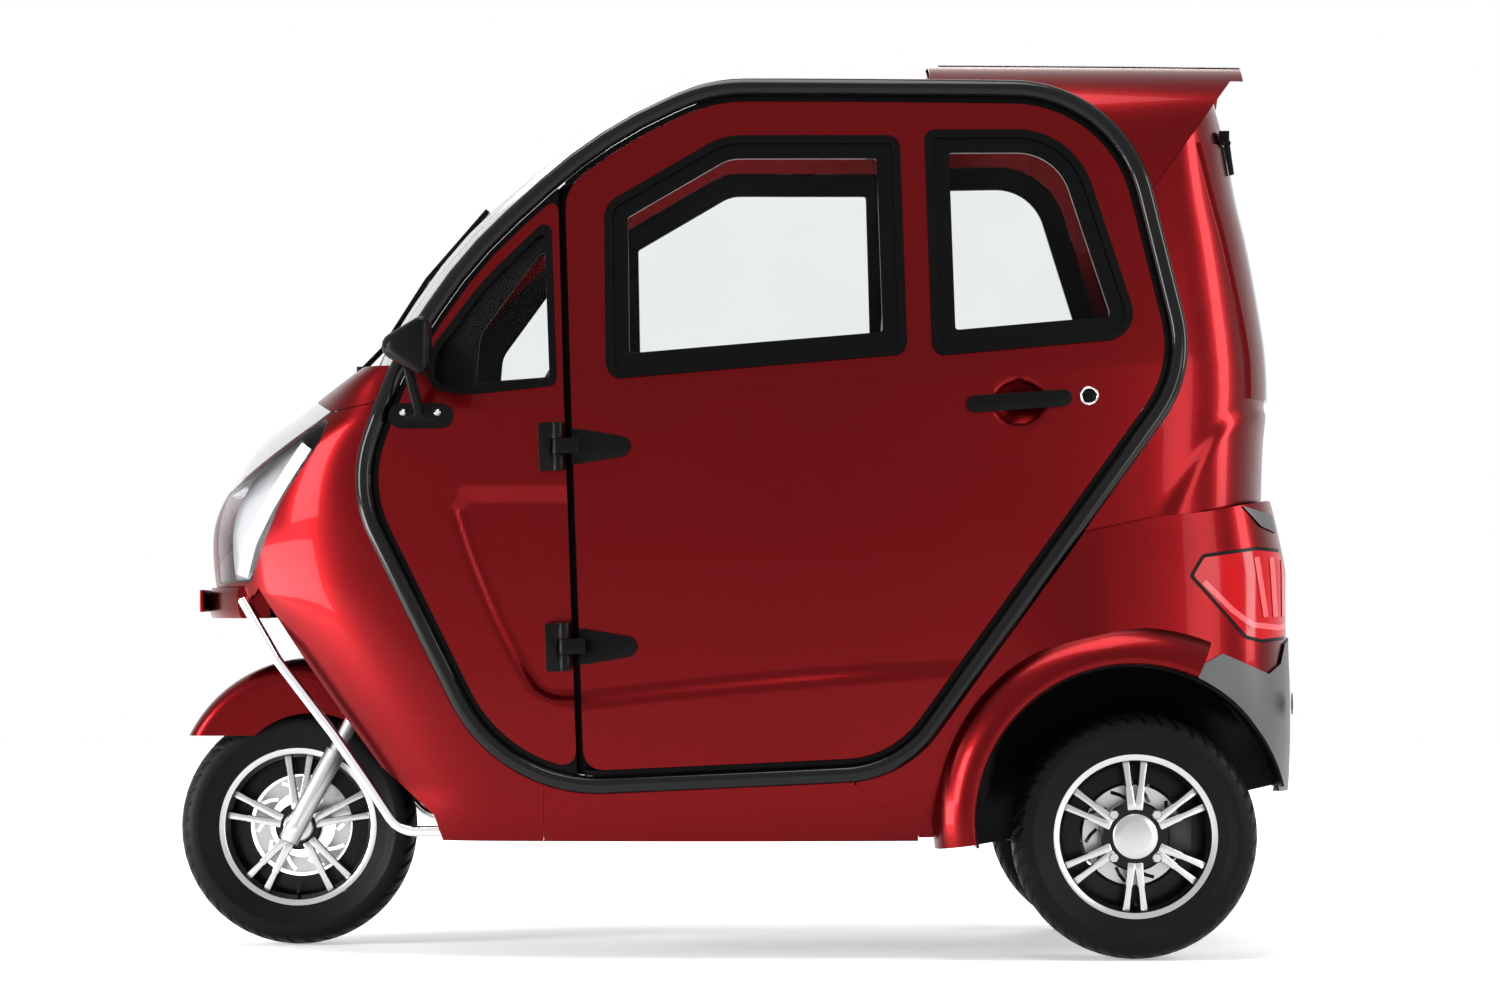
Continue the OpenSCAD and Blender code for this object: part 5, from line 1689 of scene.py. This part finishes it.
    def ring(self, name: str, section: Rows, sides: int, at: Optional[Vector] = None) -> bpy.types.Object:
        """Spins a section of the rim, with its places along Y as shares of half the width.

        Args:
            name: Name of the ring.
            section: Rows of radius and share.
            sides: Steps of the spin.
            at: Point of the axis, where it isn't the hub's own.

        Returns:
            The ring, in the left wheel's own frame.
        """
        h = self.width / 2
        return turned(name, Vector() if at is None else at, [(r, y * h) for r, y in section], sides)

    def build_rim(self) -> None:
        """Builds the rim with its spokes, hub, bolts and valve."""
        b = self.rim_r - 0.0103
        hub_r = 0.046 if self.bolts else 0.032
        bright = [
            self.ring("lip",
                      ((b - 0.012, -0.66), (b - 0.007, -0.70), (b - 0.001, -0.71), (b, -0.69), (b, -0.60),
                       (b - 0.010, -0.58)), 128),
            self.ring("cap",
                      ((0.0, -0.62), (hub_r * 0.6, -0.62), (hub_r * 0.85, -0.60), (hub_r * 0.93, -0.56),
                       (hub_r * 0.93, -0.2), (0.0, -0.2)), 64)]
        dark = [
            self.ring("barrel",
                      ((b - 0.010, -0.58), (b, -0.60), (b, 0.71), (b - 0.006, 0.71), (b - 0.007, 0.2),
                       (b - 0.020, -0.2)), 128),
            self.ring("drum",
                      ((0.014, -0.5), (hub_r * 1.35, -0.5), (hub_r * 1.45, -0.44), (hub_r * 1.45, 0.3),
                       (hub_r, 0.55), (0.014, 0.55)), 64),
            self.ring("flange", ((0.102, 0.60), (b - 0.006, 0.64), (b - 0.006, 0.70), (0.102, 0.66)), 128)]
        step = math.tau / self.spokes
        mixed = [self.spoke(step * i + side * self.pair + math.pi / 2, hub_r * 1.1, b - 0.006)
                 for i in range(self.spokes) for side in (-1, 1)]
        for i in range(self.bolts):
            a = math.tau * (i + 0.5) / self.bolts
            centre = Vector((self.bolt_ring * math.cos(a), 0, self.bolt_ring * math.sin(a)))
            bright.append(self.ring("bolt",
                                    ((0.0, -0.60), (0.008, -0.60), (0.010, -0.57), (0.010, -0.4),
                                     (0.0, -0.4)), 6, centre))
        dark.append(self.ring("valve",
                              ((0.0, -0.62), (0.003, -0.62), (0.004, -0.5), (0.004, -0.1), (0.0, -0.1)), 16,
                              Vector((0.0, 0, -(b - 0.028)))))
        spokes = self.placed(joined(self.label + "_spokes", mixed))
        for finish in (MACHINED, RIM_BLACK):
            spokes.data.materials.append(finish.material())
        dress(spokes, MACHINED, self.body, self.rim_node)
        dress(self.placed(joined(self.label + "_rim_bright", bright)), MACHINED, self.body)
        dress(self.placed(joined(self.label + "_rim_dark", dark)), RIM_BLACK, self.body)

    def build_disc(self) -> None:
        """Builds the slotted brake disc and its carrier."""
        outer, inner = self.disc_r, self.disc_r * 0.68
        mid, y = (outer + inner) / 2, self.hub.y + self.disc_y
        disc = turned(self.label + "_disc", self.hub + Vector((0, self.disc_y, 0)),
                      [(inner, -0.002), (outer, -0.002), (outer, 0.002), (inner, 0.002)], 96)

        def spiral(start: float, rows: Rows, width: float) -> Outline:
            """Makes the outline of a strip that winds round the hub.

            Args:
                start: Angle of its first point.
                rows: Rows of radius and further angle.
                width: Width of the strip.

            Returns:
                The closed outline.
            """
            return strip([Vector((self.hub.x + r * math.cos(start + s),
                                  self.hub.z + r * math.sin(start + s)))
                          for r, s in rows], width)

        slot = [(mid + k * 0.011, k * 0.16) for k in (-1, 0, 1)]
        carved(disc, *[take(spiral(math.tau * i / self.slots, slot, 0.007)) for i in range(self.slots)])
        arm = ((0.026, 0.0), (inner * 0.7, 0.25), (inner + 0.004, 0.35))
        carrier = [prism(spiral(math.tau * i / self.arms, arm, 0.012), y - 0.0015, y + 0.0015)
                   for i in range(self.arms)]
        dress(joined(self.label + "_brake_disc", [disc] + carrier), STEEL, self.body)

    def build(self) -> None:
        """Builds the wheel."""
        self.build_tyre()
        self.build_rim()
        self.build_disc()


@dataclass
class Fender:
    """Front mudguard that turns with the fork."""

    centre: Vector = field(default_factory=lambda: Vector((-0.834, 0.0, 0.296)))
    radius: float = 0.277
    half: float = 0.074
    thick: float = 0.004
    top_share: float = 0.62
    top_drop: float = 0.040
    side_drop: float = 0.070
    arc: tuple[float, float] = (36, 118)
    foot_z: float = 0.418
    stem: tuple[float, float, float] = (-0.82868, 0, 0.21722)
    rake: float = math.radians(28)
    boss: tuple = ((0, -0.0072), (0.010, -0.0072), (0.012, -0.005), (0.012, 0.005), (0.010, 0.0072),
                   (0, 0.0072))
    boss_at: tuple[float, float, float] = (-0.040, 0.0795, 0.250)

    def place(self, u: float, v: float, w: float) -> Vector:
        """Finds a point of the mudguard.

        Args:
            u: Share across.
            v: Share along.
            w: Share of the depth.

        Returns:
            The point.
        """
        s = 2 * u - 1
        angle = math.radians(self.arc[0] + self.arc[1] * v)
        edge = abs(s)
        if edge < self.top_share:
            t = edge / self.top_share
            drop, y = self.top_drop * t**3.2, self.half * math.sin(t * math.pi / 2) ** 0.9
        else:
            t = (edge - self.top_share) / 0.38
            drop, y = self.top_drop + self.side_drop * t, self.half
        r = self.radius - drop - self.thick * w * (1 - smooth((edge - 0.4) / 0.3))
        y = y - self.thick * w * smooth((edge - 0.3) / 0.3)
        return self.centre + Vector((r * math.cos(angle), math.copysign(max(y, 0.0), s),
                                     r * math.sin(angle)))

    def build(self) -> None:
        """Builds the mudguard."""
        guard = carved(skin("mudguard_shell", 48, 72, self.place),
                       (Cut.TAKE, block((-1.4, -0.4, 0.0), (-0.4, 0.4, self.foot_z))))
        bosses = []
        x, y, z = self.boss_at
        for side in (-1, 1):
            at = Vector(self.stem) + Matrix.Rotation(self.rake, 3, "Y") @ Vector((x, side * y, z))
            bosses.append(turned("boss", at, self.boss, 32))
        dress(joined("mudguard", [guard] + bosses), PAINT, Body.STEERING, "front_fender")


@dataclass
class Seats:
    """Padded driver's seat and rear bench."""

    cell: float = 0.010
    puff: float = 0.006
    gap: float = 0.010
    fill: float = 0.8
    seat_z: float = 591.3
    bench_z: float = 593.3
    rounds: int = 8
    post_x: float = 0.358
    post_y: float = 0.06
    post_z: tuple[float, float] = (1.36, 1.43)
    post_r: float = 0.006

    def pad(self, name: str, corners: Sequence[tuple[float, float, float]], half: float) -> bpy.types.Object:
        """Makes one crowned pad.

        Args:
            name: Name of the pad.
            corners: Outline in side view, with radii.
            half: Half of its width.

        Returns:
            The pad.
        """
        low_y, high_y = -half + self.gap, half - self.gap
        piece = prism(rounded(corners, -self.gap), low_y, high_y)
        piece.name = name
        step = piece.modifiers.new("cells", "REMESH")
        step.mode = "VOXEL"
        step.voxel_size = self.cell
        bpy.context.view_layer.update()
        ready = piece.evaluated_get(bpy.context.evaluated_depsgraph_get())
        shape = bmesh.new()
        shape.from_mesh(ready.data)
        piece.modifiers.clear()
        for _ in range(self.rounds):
            bmesh.ops.smooth_vert(shape, verts=shape.verts[:], factor=0.5, use_axis_x=True, use_axis_y=True,
                                  use_axis_z=True)
        shape.normal_update()
        for v in shape.verts:
            crown = math.sin(math.pi * max(0.02, min(0.98, (v.co.y - low_y) / (high_y - low_y))))
            channel = 1 - 0.8 * math.exp(-((abs(v.co.y) - half * 0.55) / 0.010) ** 2)
            v.co += v.normal * (self.puff * crown ** 0.5 * channel)
        shape.to_mesh(piece.data)
        shape.free()
        soften_shading(piece)
        return piece

    def build(self) -> None:
        """Builds the seats' pads and the posts of the headrest."""
        s, b = self.seat_z, self.bench_z
        for name, corners, half, *nodes in (
                ("driver_cushion", ((-110, s, 40), (330, s, 40), (330, s + 142, 50), (-110, s + 162, 60)),
                 0.235, "driver_seat"),
                ("driver_back", ((250, 752, 40), (348, 752, 40), (420, 1385, 40), (312, 1385, 40)), 0.225),
                ("driver_headrest", ((318, 1412, 20), (392, 1412, 20), (400, 1512, 25), (328, 1512, 25)),
                 0.125),
                ("bench_cushion", ((540, b, 30), (880, b, 30), (880, b + 116, 40), (540, b + 136, 50)), 0.33,
                 "rear_seat"),
                ("bench_back", ((886, b + 60, 30), (934, b + 60, 30), (975, 1080, 35), (895, 1080, 35)),
                 0.33)):
            piece = self.pad(name, corners, half)
            dress(piece, COVER, Body.SHELL, *nodes)
        posts = [tube("post", [Vector((self.post_x, y, z)) for z in self.post_z], lambda t: self.post_r,
                      ACROSS, 16)
                 for y in (-self.post_y, self.post_y)]
        dress(joined("headrest_posts", posts), CHROME, Body.SHELL)


@dataclass
class Studio:
    """Floor, light and camera."""

    eye: tuple[float, float, float] = (0.0375, -9.6, 0.67)
    tilt: float = 1.293
    sensor: float = 36.0
    focal_px: float = 4786
    photo_px: float = 1500
    floor_half: float = 14.0
    floor_glow: tuple = (("From Min", 1.5), ("From Max", 4.0), ("To Min", 0.35), ("To Max", 1.0))
    world_light: float = 0.2
    aim: tuple[float, float, float] = (0, 0, 0.8)
    lamps: tuple = (("top_box", (-0.4, -0.5, 4.2), (3.8, 2.0), 210.0),
                    ("front_box", (-4.2, -2.4, 1.5), (1.4, 1.8), 170.0),
                    ("low_box", (-2.7, -0.9, 0.32), (1.4, 0.5), 45.0),
                    ("rear_box", (4.2, -1.0, 2.0), (0.9, 2.6), 100.0),
                    ("rear_side_box", (3.4, -3.9, 1.25), (1.3, 2.4), 62.0),
                    ("back_box", (0.5, 4.5, 3.0), (3.0, 2.0), 50.0))

    def build(self) -> None:
        """Builds the studio."""
        scene = bpy.context.scene
        scene.view_settings.view_transform = "Standard"
        self.build_floor()
        self.build_light()
        lens = bpy.data.cameras.new("photo_camera")
        lens.sensor_width = self.sensor
        lens.lens = self.focal_px / self.photo_px * self.sensor
        camera = bpy.data.objects.new("photo_camera", lens)
        camera.location = self.eye
        camera.rotation_euler = (math.radians(90 + self.tilt), 0, 0)
        scene.collection.objects.link(camera)
        scene.camera = camera

    def seen(self, tree: bpy.types.NodeTree) -> bpy.types.NodeSocket:
        """Adds the nodes that tell rays of sight, straight, mirrored or through glass, from rays of light.

        Args:
            tree: The material's or the world's nodes.

        Returns:
            A socket that is 1 for rays of sight.
        """
        rays = tree.nodes.new("ShaderNodeLightPath")
        last = rays.outputs["Is Camera Ray"]
        for kind in ("Is Glossy Ray", "Is Transmission Ray"):
            either = tree.nodes.new("ShaderNodeMath")
            either.operation = "MAXIMUM"
            tree.links.new(last, either.inputs[0])
            tree.links.new(rays.outputs[kind], either.inputs[1])
            last = either.outputs[0]
        return last

    def build_floor(self) -> None:
        """Builds the pale floor."""
        shape = bmesh.new()
        bmesh.ops.create_grid(shape, x_segments=8, y_segments=8, size=self.floor_half)
        floor = from_bmesh("studio_floor", shape, False)
        white = Finish("floor_white", "painted", (0.92, 0.92, 0.92), 0.6, vary=0.01).material()
        tree = white.node_tree
        shader = tree.nodes["Principled BSDF"]
        shader.inputs["Emission Color"].default_value = (1, 1, 1, 1)
        place = tree.nodes.new("ShaderNodeTexCoord")
        away = tree.nodes.new("ShaderNodeVectorMath")
        away.operation = "LENGTH"
        tree.links.new(place.outputs["Object"], away.inputs[0])
        level = tree.nodes.new("ShaderNodeMapRange")
        for key, value in self.floor_glow:
            level.inputs[key].default_value = value
        tree.links.new(away.outputs["Value"], level.inputs["Value"])
        glow = tree.nodes.new("ShaderNodeMath")
        glow.operation = "MULTIPLY"
        tree.links.new(self.seen(tree), glow.inputs[0])
        tree.links.new(level.outputs["Result"], glow.inputs[1])
        tree.links.new(glow.outputs[0], shader.inputs["Emission Strength"])
        floor.data.materials.append(white)

    def build_light(self) -> None:
        """Builds the soft light and the white background."""
        world = bpy.data.worlds.new("studio_world")
        world.use_nodes = True
        tree = world.node_tree
        back = tree.nodes["Background"]
        back.inputs["Color"].default_value = (1, 1, 1, 1)
        level = tree.nodes.new("ShaderNodeMapRange")
        level.inputs["To Min"].default_value = self.world_light
        level.inputs["To Max"].default_value = 1.0
        tree.links.new(self.seen(tree), level.inputs["Value"])
        tree.links.new(level.outputs["Result"], back.inputs["Strength"])
        bpy.context.scene.world = world
        for name, place, size, power in self.lamps:
            data = bpy.data.lights.new(name, "AREA")
            data.shape = "RECTANGLE"
            data.size, data.size_y = size
            data.energy = power
            lamp = bpy.data.objects.new(name, data)
            lamp.location = place
            lamp.rotation_euler = (Vector(self.aim) - Vector(place)).to_track_quat("-Z", "Y").to_euler()
            bpy.context.scene.collection.objects.link(lamp)


def wheels() -> list[Wheel]:
    """Lists the three wheels.

    Returns:
        The front wheel and the two rear wheels.
    """
    front = Wheel("front", Body.FRONT_WHEEL, Vector((-0.864, 0, 0.236)), width=0.120, spokes=5,
                  pair=math.radians(9), face=-1, bulge=0.94, disc_y=0.066, disc_r=0.097, bolts=0,
                  tyre_node="front_tyre", rim_node="front_rim")
    rear = [Wheel(f"rear_{side}", body, Vector((0.773, face * 0.420, 0.236)), width=0.126, spokes=6,
                  pair=math.radians(7), face=face, bulge=0.96, disc_y=-face * 0.040, disc_r=0.096, bolts=4,
                  tyre_node=f"rear_tyre_{side}", rim_node=f"rear_rim_{side}")
            for side, body, face in (("left", Body.REAR_LEFT, -1), ("right", Body.REAR_RIGHT, 1))]
    return [front, *rear]


REFINED = (("chassis", FRAME_BLACK, Body.SHELL, 0.0), ("rear_axle", FRAME_BLACK, Body.SHELL, 0.002),
           ("floor_pan", BLACK, Body.SHELL, 0.0), ("wheel_houses", BLACK, Body.SHELL, 0.0),
           ("dashboard", BLACK, Body.SHELL, 0.006), ("battery_box", BLACK, Body.SHELL, 0.004),
           ("mirrors", BLACK, Body.SHELL, 0.0), ("wiper", BLACK, Body.SHELL, 0.001),
           ("hinge_bases", BLACK, Body.SHELL, 0.002), ("fork", FORK_SILVER, Body.STEERING, 0.002),
           ("handlebar", BLACK, Body.STEERING, 0.0015), ("hatch_fittings", BLACK, Body.HATCH, 0.001))


def main() -> None:
    """Builds the scooter and the studio."""
    logging.basicConfig(level=logging.INFO)
    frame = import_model()
    for part in (Studio(), Hoops(), Doors(), Quarters(), Nose(), MirrorBolts(), Canopy(), Tail(), Sills(),
                 Fender(), Seats(), *wheels()):
        part.build()
    for row in REFINED:
        refined(*row)
    LOG.info("%d solids in the frame", len(frame["nodes"]))


if __name__ == "__main__":
    main()
